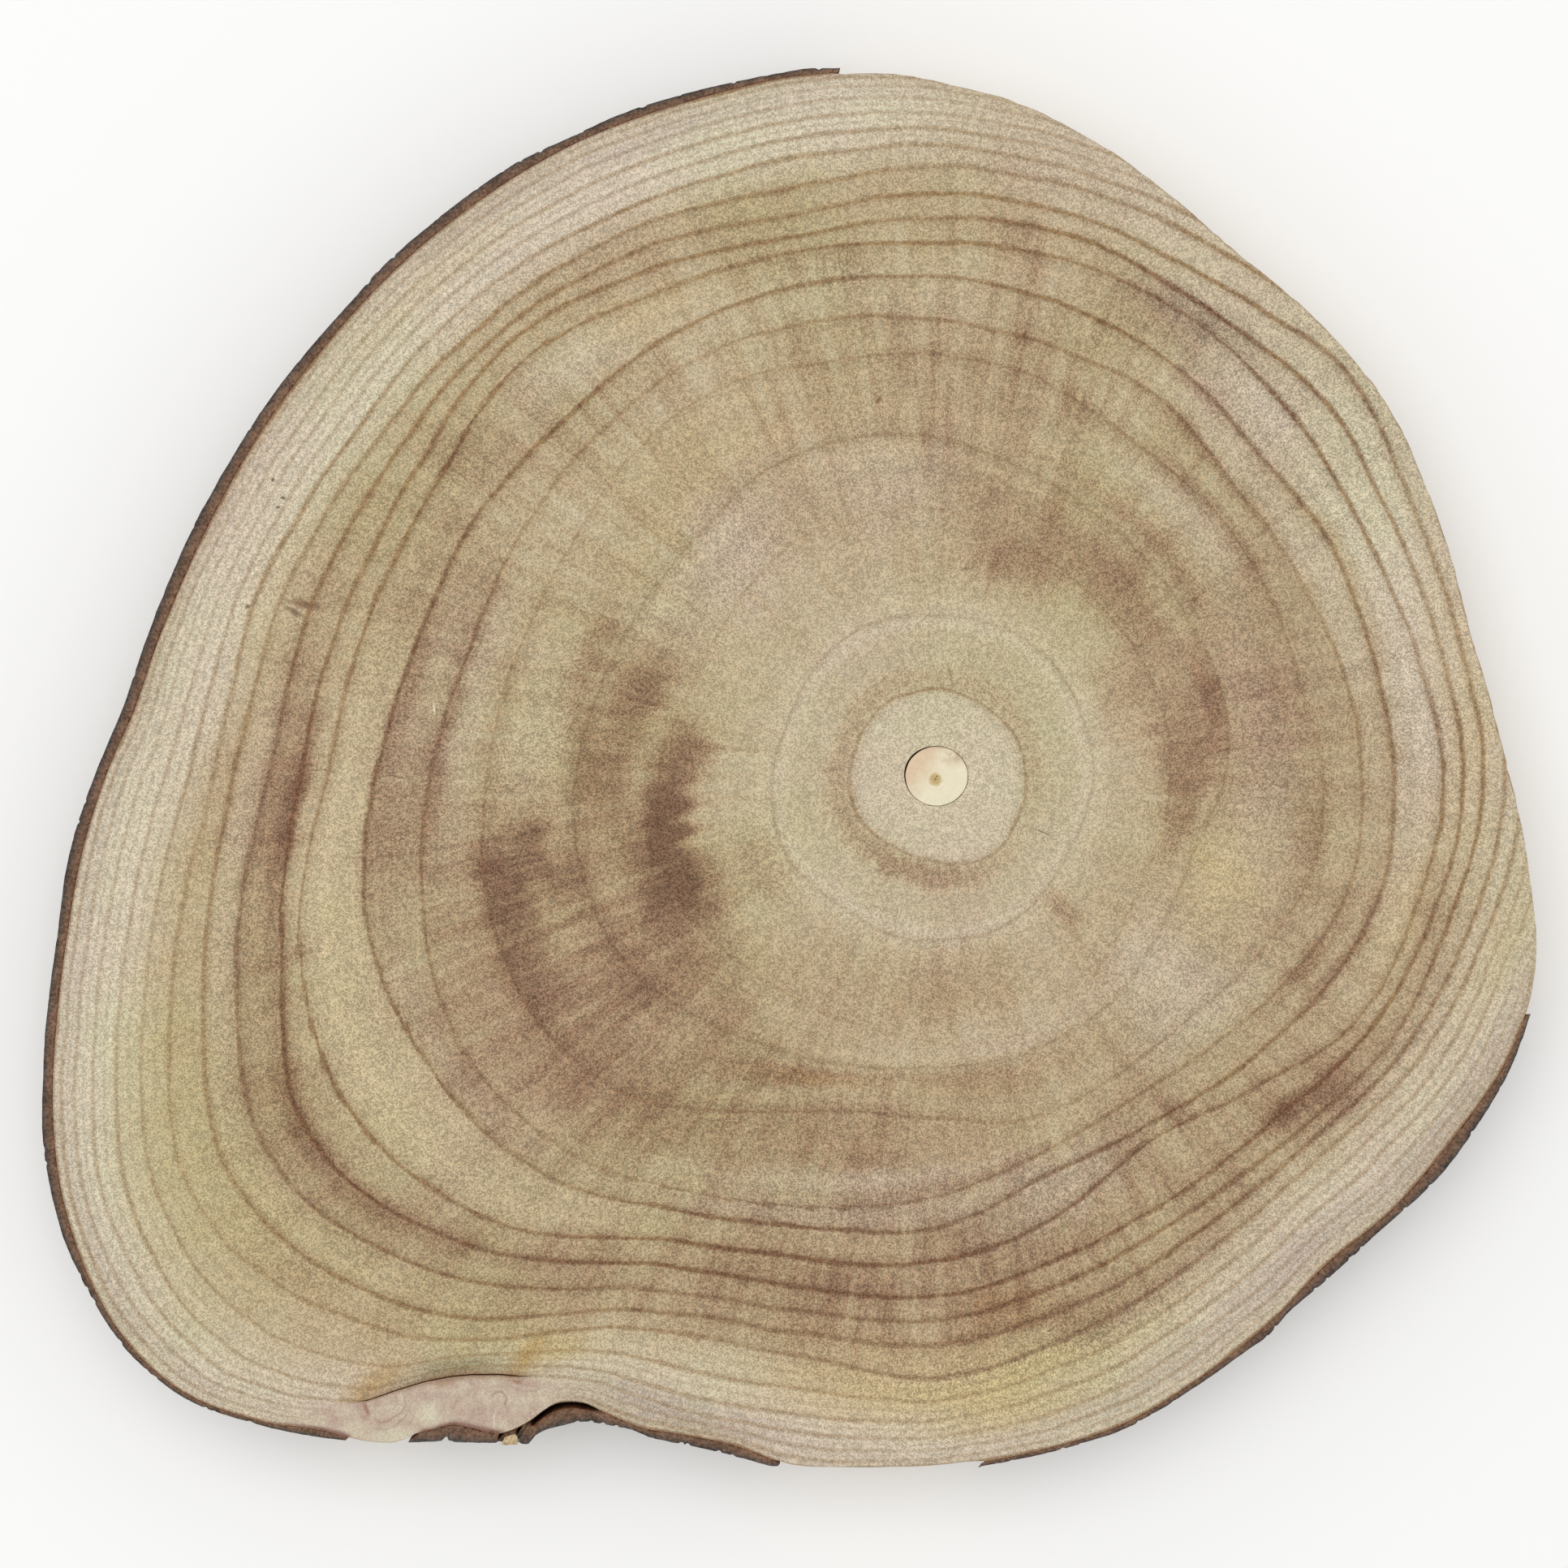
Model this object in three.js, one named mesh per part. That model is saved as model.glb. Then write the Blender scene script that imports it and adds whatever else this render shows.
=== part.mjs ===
// Wood slice: one crosscut of a fast-grown, hollow-pithed log.
//
// The slice lies flat on its lower sawn face, grain upright. It is one disc of
// wood whose growth is strongly off-centre. The hollow pith is a round hole
// right through the disc, and a short length of thin branch plugs it. The bark
// is still on in four stretches; between them the wood's side is bare. At the
// front an old wound has grown over: the wood folds in there, the bark is
// broken, and one strip of it stands off the wood.
//
// Millimetres, +Z up. The origin is at the middle of the footprint, on the
// lower face. Outlines are written in polar form around the pith, as
// [degrees, radius], anticlockwise from +X.

import * as THREE from 'three';

// Driving dimensions.
const THICKNESS = 30;
const PLUG_RADII = [7.15, 6.8];
const PLUG_CENTRE = [-0.15, 0.1];
const BORE_CENTRE = [-0.2, 0.15];
const BORE_CLEARANCE = 0.35;
const PLUG_RECESS = 0.3;
const BARK_GAP = 0.3;
const FACET_LENGTH = 2.6;
const FEWEST_FACETS = 2;
const ROUND_SIDES = 48;

// Edge of the wood under the bark, or bare where there is none.
const WOOD_EDGE = [
  [0, 130.8], [5, 128.4], [10, 127.0], [15, 126.1], [22, 127.3], [30, 129.6], [38, 132.8],
  [46, 134.8], [54, 136.3], [60, 137.7], [67, 142.2], [75, 148.6], [83, 154.8], [90, 158.9],
  [94, 161.0], [98, 162.0], [104, 163.2], [120, 166.3], [135, 168.8], [150, 172.0], [160, 175.3], [170, 180.2],
  [175, 183.4], [180, 189.6], [185, 195.6], [190, 201.2], [195, 207.6], [200, 214.6], [205, 220.6],
  [210, 224.3], [214, 225.3], [217, 224.1], [220, 220.6], [224, 212.0], [226, 206.3], [227.6, 202.9],
  [228.7, 201.4], [229.8, 199.0], [231, 195.4], [231.6, 191.0], [232.4, 187.6], [233.1, 184.6],
  [234, 183.0], [235.9, 180.6], [236.6, 179.4], [237.1, 177.4], [237.7, 174.2], [238.1, 170.9],
  [238.6, 167.8], [239.5, 165.6], [240.6, 164.2], [242.5, 163.5], [244.7, 163.2], [246, 162.8],
  [248.3, 161.1], [252.2, 159.4], [254.7, 159.5], [257.9, 160.5], [264, 158.6], [272, 156.9],
  [279, 155.2], [286, 153.5], [292, 150.3], [298, 147.2], [303.1, 144.7], [307.4, 142.4], [310, 142.0],
  [316.7, 143.1], [327.7, 143.9], [332.7, 144.9], [336.5, 144.7], [340, 144.5], [345, 141.7], [350, 137.6],
  [355, 134.0],
];

// Outer face of the long stretch of bark on the left.
const LEFT_BARK_FACE = [
  [97.8, 163.0], [100, 164.0], [104, 164.6], [110, 165.9], [115, 167.3], [120, 168.1], [125, 169.8],
  [135, 171.4], [140, 171.9], [150, 174.7], [160, 178.3], [165, 180.4], [170, 183.0], [175, 186.2],
  [180, 192.2], [185, 198.6], [190, 203.6], [195, 210.2], [198.5, 215.0], [202, 220.0], [206.6, 224.4],
  [210, 226.1], [214.5, 226.6], [217, 225.3], [220, 221.9], [223.6, 214.1], [225.6, 209.5], [227, 206.0],
  [228.3, 202.7],
];

// Outer face of the broken bark over the wound, with its small notch.
const WOUND_BARK_FACE = [
  [231.5, 193.9], [232.4, 191.4], [233.25, 189.0], [233.35, 187.3], [233.65, 187.9], [234.7, 186.0],
  [236.5, 182.1],
];

// Strip that stands off the wood: its inner face as far as it is loose.
const FLAP_BACK = [[237.75, 177.4], [238.05, 174.7], [238.45, 171.5], [238.95, 168.9], [239.8, 166.5], [240.9, 165.1]];

// The same strip's outer face, from its curled tip to where it thins out.
const FLAP_FACE = [
  [238.05, 179.2], [238.5, 178.4], [238.6, 176.1], [239.1, 173.4], [239.8, 171.3], [240.6, 169.1],
  [241.6, 167.2], [243.6, 165.4], [244.9, 164.4], [246.4, 164.3], [249.2, 162.8], [251.8, 161.9],
  [254.1, 161.6], [256.3, 161.7], [257.1, 161.2],
];

// Pale chip of wood wedged in the broken bark.
const SPLINTER = [[236.75, 180.0], [237.3, 178.1], [237.55, 178.3], [237.9, 179.9], [236.85, 182.0]];

// Outer face of the bark on the lower right.
const RIGHT_BARK_FACE = [
  [273.4, 157.7], [279, 156.3], [282, 155.6], [286, 154.7], [292, 151.6], [298, 148.8], [300.8, 148.0],
  [303, 146.2], [308.3, 145.0], [314, 144.6], [319, 145.7], [322, 146.4], [328, 146.6], [332.3, 146.7],
  [336, 146.1], [338.2, 145.6],
];

// Angles between which each fixed stretch of bark follows the wood.
const LEFT_BARK_SPAN = [97.8, 228.3];
const WOUND_BARK_SPAN = [231.55, 236.4];
const FLAP_SEATED_SPAN = [241.8, 257.1];
const RIGHT_BARK_SPAN = [273.4, 338.2];

const FINISHES = {
  wood: { color: 0xc9b995, roughness: 0.8, metalness: 0 },
  bark: { color: 0x6e4b37, roughness: 0.95, metalness: 0 },
  pale_wood: { color: 0xe3d3ab, roughness: 0.7, metalness: 0 },
};

function pointAt([degrees, radius]) {
  const angle = THREE.MathUtils.degToRad(degrees);
  return new THREE.Vector3(radius * Math.cos(angle), radius * Math.sin(angle), 0);
}

function degreesOf(point) {
  return THREE.MathUtils.euclideanModulo(THREE.MathUtils.radToDeg(Math.atan2(point.y, point.x)), 360);
}

// Points on a smooth curve through polar knots, every knot among them.
function smoothLine(polarKnots, closed) {
  const knots = polarKnots.map(pointAt);
  const curve = new THREE.CatmullRomCurve3(knots, closed, 'centripetal');
  const spans = closed ? knots.length : knots.length - 1;
  const points = [];
  for (let span = 0; span < spans; span += 1) {
    const reach = knots[span].distanceTo(knots[(span + 1) % knots.length]);
    const steps = Math.max(FEWEST_FACETS, Math.round(reach / FACET_LENGTH));
    for (let step = 0; step < steps; step += 1) {
      points.push(curve.getPoint((span + step / steps) / spans));
    }
  }
  if (!closed) {
    points.push(knots[spans].clone());
  }
  return points;
}

const woodLoop = smoothLine(WOOD_EDGE, true);

// The wood's edge between two angles, moved outwards by the bark gap.
function besideWood([start, end]) {
  const count = woodLoop.length;
  const line = [];
  woodLoop.forEach((point, index) => {
    const degrees = degreesOf(point);
    if (degrees < start || degrees > end) {
      return;
    }
    const before = woodLoop[(index + count - 1) % count];
    const after = woodLoop[(index + 1) % count];
    const along = after.clone().sub(before).normalize();
    line.push(new THREE.Vector3(point.x + along.y * BARK_GAP, point.y - along.x * BARK_GAP, 0));
  });
  return line;
}

function flat(points) {
  return points.map((point) => new THREE.Vector2(point.x, point.y));
}

// Upright solid of a plan outline, between two heights.
function upright(name, finish, outline, hole, bottom, top) {
  const shape = new THREE.Shape(flat(outline));
  if (hole) {
    shape.holes.push(new THREE.Path(flat(hole)));
  }
  const geometry = new THREE.ExtrudeGeometry(shape, { depth: top - bottom, bevelEnabled: false });
  geometry.translate(0, 0, bottom);
  const mesh = new THREE.Mesh(geometry, new THREE.MeshStandardMaterial(FINISHES[finish]));
  mesh.name = name;
  return mesh;
}

function ellipse([centreX, centreY], [radiusX, radiusY]) {
  const curve = new THREE.EllipseCurve(centreX, centreY, radiusX, radiusY);
  return curve.getPoints(ROUND_SIDES).slice(0, ROUND_SIDES);
}

// A strip of bark between its back, run one way, and its outer face, run the other.
function barkStrip(name, back, face) {
  return upright(name, 'bark', [...back, ...face.slice().reverse()].reverse(), null, 0, THICKNESS);
}

function makeDisc() {
  const bore = ellipse(BORE_CENTRE, PLUG_RADII.map((radius) => radius + BORE_CLEARANCE));
  return upright('wood_disc', 'wood', woodLoop, bore, 0, THICKNESS);
}

function makePlug() {
  return upright('pith_plug', 'pale_wood', ellipse(PLUG_CENTRE, PLUG_RADII), null, PLUG_RECESS, THICKNESS);
}

function makeBark() {
  const flapBack = [...smoothLine(FLAP_BACK, false), ...besideWood(FLAP_SEATED_SPAN)];
  return [
    barkStrip('bark_left', besideWood(LEFT_BARK_SPAN), smoothLine(LEFT_BARK_FACE, false)),
    barkStrip('bark_wound', besideWood(WOUND_BARK_SPAN), smoothLine(WOUND_BARK_FACE, false)),
    barkStrip('bark_flap', flapBack, smoothLine(FLAP_FACE, false)),
    barkStrip('bark_lower_right', besideWood(RIGHT_BARK_SPAN), smoothLine(RIGHT_BARK_FACE, false)),
  ];
}

function makeSplinter() {
  return upright('wood_splinter', 'pale_wood', SPLINTER.map(pointAt), null, 0, THICKNESS);
}

const slice = new THREE.Group();
slice.add(makeDisc(), makePlug(), ...makeBark(), makeSplinter());

// Bring the middle of the footprint to the origin.
const footprint = new THREE.Box3().setFromObject(slice);
const middle = footprint.getCenter(new THREE.Vector3());
slice.position.set(-middle.x, -middle.y, 0);

export default slice;
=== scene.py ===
"""Wood slice: one crosscut of a fast-grown, hollow-pithed log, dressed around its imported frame.

Lengths in this file are millimetres and angles are degrees, unless a name says otherwise;
meshes are turned into metres as they are made. Places on the slice are polar around the
pith, anticlockwise from +X. Outlines come from the frame's own solids.
"""

import logging
import math
from dataclasses import dataclass, field
from enum import Enum
from typing import Callable, Sequence

import bpy
import numpy as np
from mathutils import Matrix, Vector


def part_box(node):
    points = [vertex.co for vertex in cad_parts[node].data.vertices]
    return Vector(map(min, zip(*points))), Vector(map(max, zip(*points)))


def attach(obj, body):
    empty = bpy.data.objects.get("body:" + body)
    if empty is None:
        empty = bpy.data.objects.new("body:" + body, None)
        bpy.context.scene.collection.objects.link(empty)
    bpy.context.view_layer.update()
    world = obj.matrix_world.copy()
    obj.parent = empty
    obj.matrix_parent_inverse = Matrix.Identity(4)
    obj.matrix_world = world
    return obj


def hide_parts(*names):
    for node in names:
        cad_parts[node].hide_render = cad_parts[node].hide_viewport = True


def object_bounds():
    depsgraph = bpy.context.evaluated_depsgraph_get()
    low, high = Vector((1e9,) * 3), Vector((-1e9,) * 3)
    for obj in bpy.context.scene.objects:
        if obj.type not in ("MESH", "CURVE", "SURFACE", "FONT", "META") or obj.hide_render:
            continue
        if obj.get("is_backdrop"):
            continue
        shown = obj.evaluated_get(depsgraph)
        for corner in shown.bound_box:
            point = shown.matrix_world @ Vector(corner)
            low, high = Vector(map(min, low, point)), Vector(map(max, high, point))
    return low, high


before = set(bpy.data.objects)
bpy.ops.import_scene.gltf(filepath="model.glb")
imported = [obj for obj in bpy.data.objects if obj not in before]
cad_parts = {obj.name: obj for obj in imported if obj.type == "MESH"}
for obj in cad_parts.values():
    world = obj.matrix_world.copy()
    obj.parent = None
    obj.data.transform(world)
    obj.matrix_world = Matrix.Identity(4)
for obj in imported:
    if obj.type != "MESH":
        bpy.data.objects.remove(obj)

LOG = logging.getLogger("wood_slice")
METRES = 0.001
MILLIMETRES = 1000.0
BODY = "root"
BARK_NODES = ("bark_left", "bark_lower_right", "bark_wound", "bark_flap")
FULL_TURN = 360.0
HALF_TURN = 180.0

# Bark this close to the wood is seated on it; from the second gap on it stands loose.
LOOSE_GAP = (0.5, 0.9)

Colour = tuple[int, int, int]
Span = tuple[float, float]
Array = np.ndarray
Rows = np.ndarray | float
Piece = bpy.types.Object
Material = bpy.types.Material
Node = bpy.types.Node
Tree = bpy.types.NodeTree
Outputs = bpy.types.NodeOutputs


class Slot(Enum):
    """Material slots of the record."""

    WOOD = "wood"
    BARK = "bark"
    PALE_WOOD = "pale_wood"


class Tint(Enum):
    """What a patch on the sawn face does to the wood's colour."""

    DARK = "stain"
    LIGHT = "pale"
    YELLOW = "yellow"
    ORANGE = "orange"
    GREY = "grey"
    MAUVE = "mauve"
    STREAKS = "streaks"


# ---- small tools


def linear(colour: Colour) -> tuple[float, float, float, float]:
    """Turns a paint-chart colour into the linear one that shaders take.

    Args:
        colour: Red, green and blue, 0 to 255.

    Returns:
        Linear red, green and blue with full alpha.
    """
    parts = [value / 255 for value in colour]
    red, green, blue = (
        part / 12.92 if part <= 0.04045 else ((part + 0.055) / 1.055) ** 2.4
        for part in parts
    )
    return red, green, blue, 1.0


def smooth_step(low: float, high: float, value: Array) -> Array:
    """Eased rise of a value from 0 at low to 1 at high."""
    share = np.clip((value - low) / (high - low), 0, 1)
    return share * share * (3 - 2 * share)


def between(rise: Span, fall: Span, value: Array) -> Array:
    """Eased rise to 1 over one span of values, and return to 0 over a later one."""
    return smooth_step(*rise, value) * (1 - smooth_step(*fall, value))


def off_heading(degrees: Array, heading: float) -> Array:
    """How far angles lie from a heading, from -180 to 180."""
    return (degrees - heading + HALF_TURN) % FULL_TURN - HALF_TURN


def around(radii: Sequence[float], degrees: Array) -> Array:
    """Smooth closed curve through radii that are spaced evenly round the pith.

    Args:
        radii: The radii, the first of them at 0 degrees.
        degrees: Angles to read the curve at.

    Returns:
        The radius at each angle.
    """
    knots = np.asarray(radii, float)
    place = np.asarray(degrees, float) / FULL_TURN * len(knots)
    start = np.floor(place).astype(int)
    share = place - start
    before, here, after, beyond = (
        knots[(start + step) % len(knots)] for step in (-1, 0, 1, 2)
    )
    return here + 0.5 * share * (
        after
        - before
        + share * (2 * before - 5 * here + 4 * after - beyond)
        + share * share * (3 * (here - after) + beyond - before)
    )


@dataclass(frozen=True)
class SoftNoise:
    """Seeded smooth noise on a plane, from -1 to 1; it repeats after wrap steps across."""

    seed: int
    wrap: int = 512
    lines: int = 512

    def at(self, across: Array, along: Array) -> Array:
        """Reads the noise.

        Args:
            across: Place across, in noise steps.
            along: Place along, in noise steps.

        Returns:
            The noise at each place.
        """
        lattice = np.random.default_rng(self.seed).uniform(-1, 1, (self.wrap, self.lines))
        column, row = np.floor(across).astype(int), np.floor(along).astype(int)
        right, up = across - column, along - row
        right = right * right * (3 - 2 * right)
        up = up * up * (3 - 2 * up)
        first, second = column % self.wrap, (column + 1) % self.wrap
        low, high = row % self.lines, (row + 1) % self.lines
        near = lattice[first, low] * (1 - right) + lattice[second, low] * right
        far = lattice[first, high] * (1 - right) + lattice[second, high] * right
        return near * (1 - up) + far * up


class PlanOutline:
    """Outline of an upright CAD solid, seen from above and measured from the pith."""

    def __init__(self, node: str, pith: Array) -> None:
        """Reads the outline of the solid's top face.

        Args:
            node: Name of the CAD node.
            pith: The pith's x and y.
        """
        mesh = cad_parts[node].data
        found: dict[tuple, tuple[Array, Array]] = {}
        for face in mesh.polygons:
            if face.normal.z < 0.5:
                continue
            corners = [np.array(mesh.vertices[v].co)[:2] * MILLIMETRES for v in face.vertices]
            for start, end in zip(corners, corners[1:] + corners[:1]):
                key = tuple(sorted((tuple(start.round(3)), tuple(end.round(3)))))
                if key in found:
                    del found[key]
                else:
                    found[key] = (start - pith, end - pith)
        self.starts = np.array([start for start, _ in found.values()])
        self.ends = np.array([end for _, end in found.values()])

    def span(self) -> tuple[float, float]:
        """First and last angle of the outline, for a solid that doesn't reach round."""
        angles = np.degrees(np.arctan2(self.starts[:, 1], self.starts[:, 0])) % FULL_TURN
        return float(angles.min()), float(angles.max())

    def reaches(self, degrees: Array) -> tuple[Array, Array]:
        """Where rays from the pith enter and leave the outline.

        Args:
            degrees: Angles of the rays.

        Returns:
            The nearest and the farthest radius along each ray.
        """
        turn = np.radians(degrees)[:, None]
        ray_x, ray_y = np.cos(turn), np.sin(turn)
        start_side = self.starts[:, 0] * ray_y - self.starts[:, 1] * ray_x
        end_side = self.ends[:, 0] * ray_y - self.ends[:, 1] * ray_x
        apart = start_side - end_side
        share = start_side / np.where(np.abs(apart) < 1e-12, 1e-12, apart)
        hit_x = self.starts[:, 0] + share * (self.ends[:, 0] - self.starts[:, 0])
        hit_y = self.starts[:, 1] + share * (self.ends[:, 1] - self.starts[:, 1])
        radius = hit_x * ray_x + hit_y * ray_y
        met = (start_side * end_side <= 0) & (radius > 0) & (np.abs(apart) > 1e-12)
        nearest = np.where(met, radius, np.inf).min(axis=1)
        farthest = np.where(met, radius, -np.inf).max(axis=1)
        return nearest, farthest

    def loop(self) -> Array:
        """The outline's corners in order, anticlockwise about their middle."""
        away = self.starts - self.starts.mean(axis=0)
        return self.starts[np.argsort(np.arctan2(away[:, 1], away[:, 0]))]


@dataclass
class Skin:
    """A grid of quads, wrapped round both ways or closed with caps, that becomes a piece."""

    points: Array
    closed_round: bool
    slots: Array
    masks: dict[str, Array] = field(default_factory=dict)
    bake_map: Callable[[Array, Array], Array] | None = None

    def make(self, name: str, materials: Sequence[Material], sharp: float) -> Piece:
        """Builds the mesh object.

        Args:
            name: The piece's name.
            materials: What each slot number stands for.
            sharp: Angle past which an edge is shown as a crease.

        Returns:
            The new object, in the scene.
        """
        columns, rows = self.points.shape[:2]
        index = np.arange(columns * rows).reshape(columns, rows)
        last = columns if self.closed_round else columns - 1
        column = np.arange(last)
        here, beside = index[column], index[(column + 1) % columns]
        above = np.roll(np.arange(rows), -1)
        quads = np.stack([here, here[:, above], beside[:, above], beside], axis=-1)
        faces = quads.reshape(-1, 4).tolist()
        worn = np.tile(self.slots, last).tolist()
        if not self.closed_round:
            faces += [index[0][::-1].tolist(), index[-1].tolist()]
            worn += [int(self.slots[0])] * 2
        mesh = bpy.data.meshes.new(name)
        mesh.from_pydata((self.points.reshape(-1, 3) * METRES).tolist(), [], faces)
        mesh.polygons.foreach_set("material_index", worn)
        mesh.polygons.foreach_set("use_smooth", [True] * len(faces))
        for label, values in self.masks.items():
            layer = mesh.attributes.new(label, "FLOAT", "POINT")
            layer.data.foreach_set("value", values.astype(np.float32).ravel())
        for material in materials:
            mesh.materials.append(material)
        mesh.set_sharp_from_angle(angle=math.radians(sharp))
        if self.bake_map is not None:
            self._lay_out(mesh, last, rows)
        mesh.validate()
        made = bpy.data.objects.new(name, mesh)
        bpy.context.scene.collection.objects.link(made)
        return made

    def _lay_out(self, mesh: bpy.types.Mesh, last: int, rows: int) -> None:
        """Gives the mesh its own flat layout for a baked finish.

        Args:
            mesh: The grid's mesh.
            last: Number of columns of quads.
            rows: Number of rows of quads.
        """
        corner = np.array([(0, 0), (0, 1), (1, 1), (1, 0)])
        column = np.arange(last)[:, None, None] + corner[None, None, :, 0]
        row = np.arange(rows)[None, :, None] + corner[None, None, :, 1]
        column, row = np.broadcast_arrays(column, row)
        layer = mesh.uv_layers.new(name="OFBake")
        layer.data.foreach_set("uv", self.bake_map(column, row).astype(np.float32).ravel())


def fit(made: Piece, slot: Slot, *nodes: str) -> None:
    """Puts a finished piece on the slice's one body.

    Args:
        made: The piece.
        slot: Material slot of the record that it takes its finish from; not used.
        nodes: CAD nodes that it stands for.
    """
    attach(made, BODY)
    if nodes:
        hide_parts(*nodes)
    LOG.info("%s: %d faces, stands for %s", made.name, len(made.data.polygons), nodes or "nothing")


# ---- drawing with nodes

Socket = bpy.types.NodeSocket
Input = float | tuple | Socket


class Pen:
    """Adds nodes to one tree and joins them, so that a finish reads as steps."""

    def __init__(self, tree: Tree) -> None:
        """Keeps the tree that the nodes go into."""
        self.tree = tree

    def node(
        self, kind: str, inputs: dict[str | int, Input] | None = None, **settings: object,
    ) -> Node:
        """Adds a node.

        Args:
            kind: The node's type.
            inputs: A value or a socket for each input, by name or number.
            settings: The node's own settings.

        Returns:
            The node.
        """
        made = self.tree.nodes.new(kind)
        for name, value in settings.items():
            setattr(made, name, value)
        for key, value in (inputs or {}).items():
            self.feed(made.inputs[key], value)
        return made

    def feed(self, socket: Socket, value: Input) -> None:
        """Sets a socket to a value, or joins it to another socket.

        Args:
            socket: The socket.
            value: Its value, or the socket to join it to.
        """
        if isinstance(value, Socket):
            self.tree.links.new(value, socket)
        else:
            socket.default_value = value

    def maths(self, operation: str, first: Input, second: Input = 0.5, clamp: bool = False) -> Socket:
        """A sum of one or two values, named by its operation, kept from 0 to 1 if asked."""
        made = self.node("ShaderNodeMath", {0: first, 1: second}, operation=operation, use_clamp=clamp)
        return made.outputs[0]

    def times(self, first: Input, second: Input, clamp: bool = False) -> Socket:
        """One value times another, kept from 0 to 1 if asked."""
        return self.maths("MULTIPLY", first, second, clamp)

    def plus(self, first: Input, second: Input, clamp: bool = False) -> Socket:
        """One value added to another, kept from 0 to 1 if asked."""
        return self.maths("ADD", first, second, clamp)

    def vector(self, operation: str, first: Input, second: Input) -> Socket:
        """A sum of two vectors, named by its operation."""
        return self.node("ShaderNodeVectorMath", {0: first, 1: second}, operation=operation).outputs[0]

    def length(self, value: Input) -> Socket:
        """Length of a vector."""
        return self.node("ShaderNodeVectorMath", {0: value}, operation="LENGTH").outputs["Value"]

    def stretch(self, value: Input, scale: tuple[float, float, float]) -> Socket:
        """A vector with each part multiplied."""
        return self.vector("MULTIPLY", value, scale)

    def noise(
        self, place: Input, scale: Input, detail: float = 2.0, roughness: float = 0.5, bend: float = 0.0,
    ) -> Socket:
        """Soft noise from 0 to 1, with finer layers, bent by itself if asked."""
        inputs = {"Vector": place, "Scale": scale, "Detail": detail, "Roughness": roughness}
        return self.node("ShaderNodeTexNoise", inputs | {"Distortion": bend}).outputs[0]

    def rise(self, value: Input, low: Input, high: Input, start: float = 0.0, end: float = 1.0) -> Socket:
        """Eased change from start to end as a value grows from low to high."""
        inputs = {"Value": value, "From Min": low, "From Max": high, "To Min": start, "To Max": end}
        return self.node("ShaderNodeMapRange", inputs, interpolation_type="SMOOTHSTEP").outputs[0]

    def line(self, value: Input, low: float, high: float, start: float, end: float) -> Socket:
        """Straight change from start to end as a value grows, held past low and high."""
        inputs = {"Value": value, "From Min": low, "From Max": high, "To Min": start, "To Max": end}
        return self.node("ShaderNodeMapRange", inputs).outputs[0]

    def colours(self, value: Input, stops: Sequence[tuple[float, Colour]]) -> Socket:
        """A colour that runs through stops as a value grows.

        Args:
            value: The value, 0 to 1.
            stops: Where each colour is reached.

        Returns:
            The colour.
        """
        made = self.node("ShaderNodeValToRGB", {0: value})
        ramp = made.color_ramp
        while len(ramp.elements) < len(stops):
            ramp.elements.new(1.0)
        for element, (place, colour) in zip(ramp.elements, stops):
            element.position = place
            element.color = linear(colour)
        return made.outputs[0]

    def blend(self, share: Input, under: Input, over: Input, mode: str = "MIX") -> Socket:
        """Lays one colour over another.

        Args:
            share: How much of the upper colour shows, 0 to 1.
            under: Lower colour.
            over: Upper colour.
            mode: How the two are combined.

        Returns:
            The mixed colour.
        """
        made = self.node("ShaderNodeMix", data_type="RGBA", blend_type=mode)
        self.feed(made.inputs[0], share)
        self.feed(made.inputs[6], under)
        self.feed(made.inputs[7], over)
        return made.outputs[2]

    def paint(self, colour: Input, over: Colour, share: Input) -> Socket:
        """Lays one plain colour over another, as far as the share says."""
        return self.blend(share, colour, linear(over))

    def shade(self, colour: Input, value: Input) -> Socket:
        """Multiplies a colour by a value."""
        grey = self.node("ShaderNodeCombineXYZ", {0: value, 1: value, 2: value}).outputs[0]
        return self.vector("MULTIPLY", colour, grey)

    def mask(self, name: str) -> Socket:
        """One of the piece's own masks."""
        return self.node("ShaderNodeAttribute", attribute_name=name).outputs["Fac"]

    def millimetres(self, origin: Array | None = None) -> Socket:
        """Place on the piece in millimetres.

        Args:
            origin: The x and y that it is measured from, if they aren't the frame's own.

        Returns:
            The place.
        """
        place = self.stretch(self.node("ShaderNodeTexCoord").outputs["Object"], (MILLIMETRES,) * 3)
        if origin is None:
            return place
        return self.vector("SUBTRACT", place, (float(origin[0]), float(origin[1]), 0.0))

    def use(self, group: Tree, **inputs: Input) -> Node:
        """Places a shared node group.

        Args:
            group: The group.
            inputs: Its inputs, with underscores for the blanks in their names.

        Returns:
            The node that holds the group.
        """
        made = self.node("ShaderNodeGroup", node_tree=group)
        for name, value in inputs.items():
            self.feed(made.inputs[name.replace("_", " ")], value)
        return made


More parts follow.
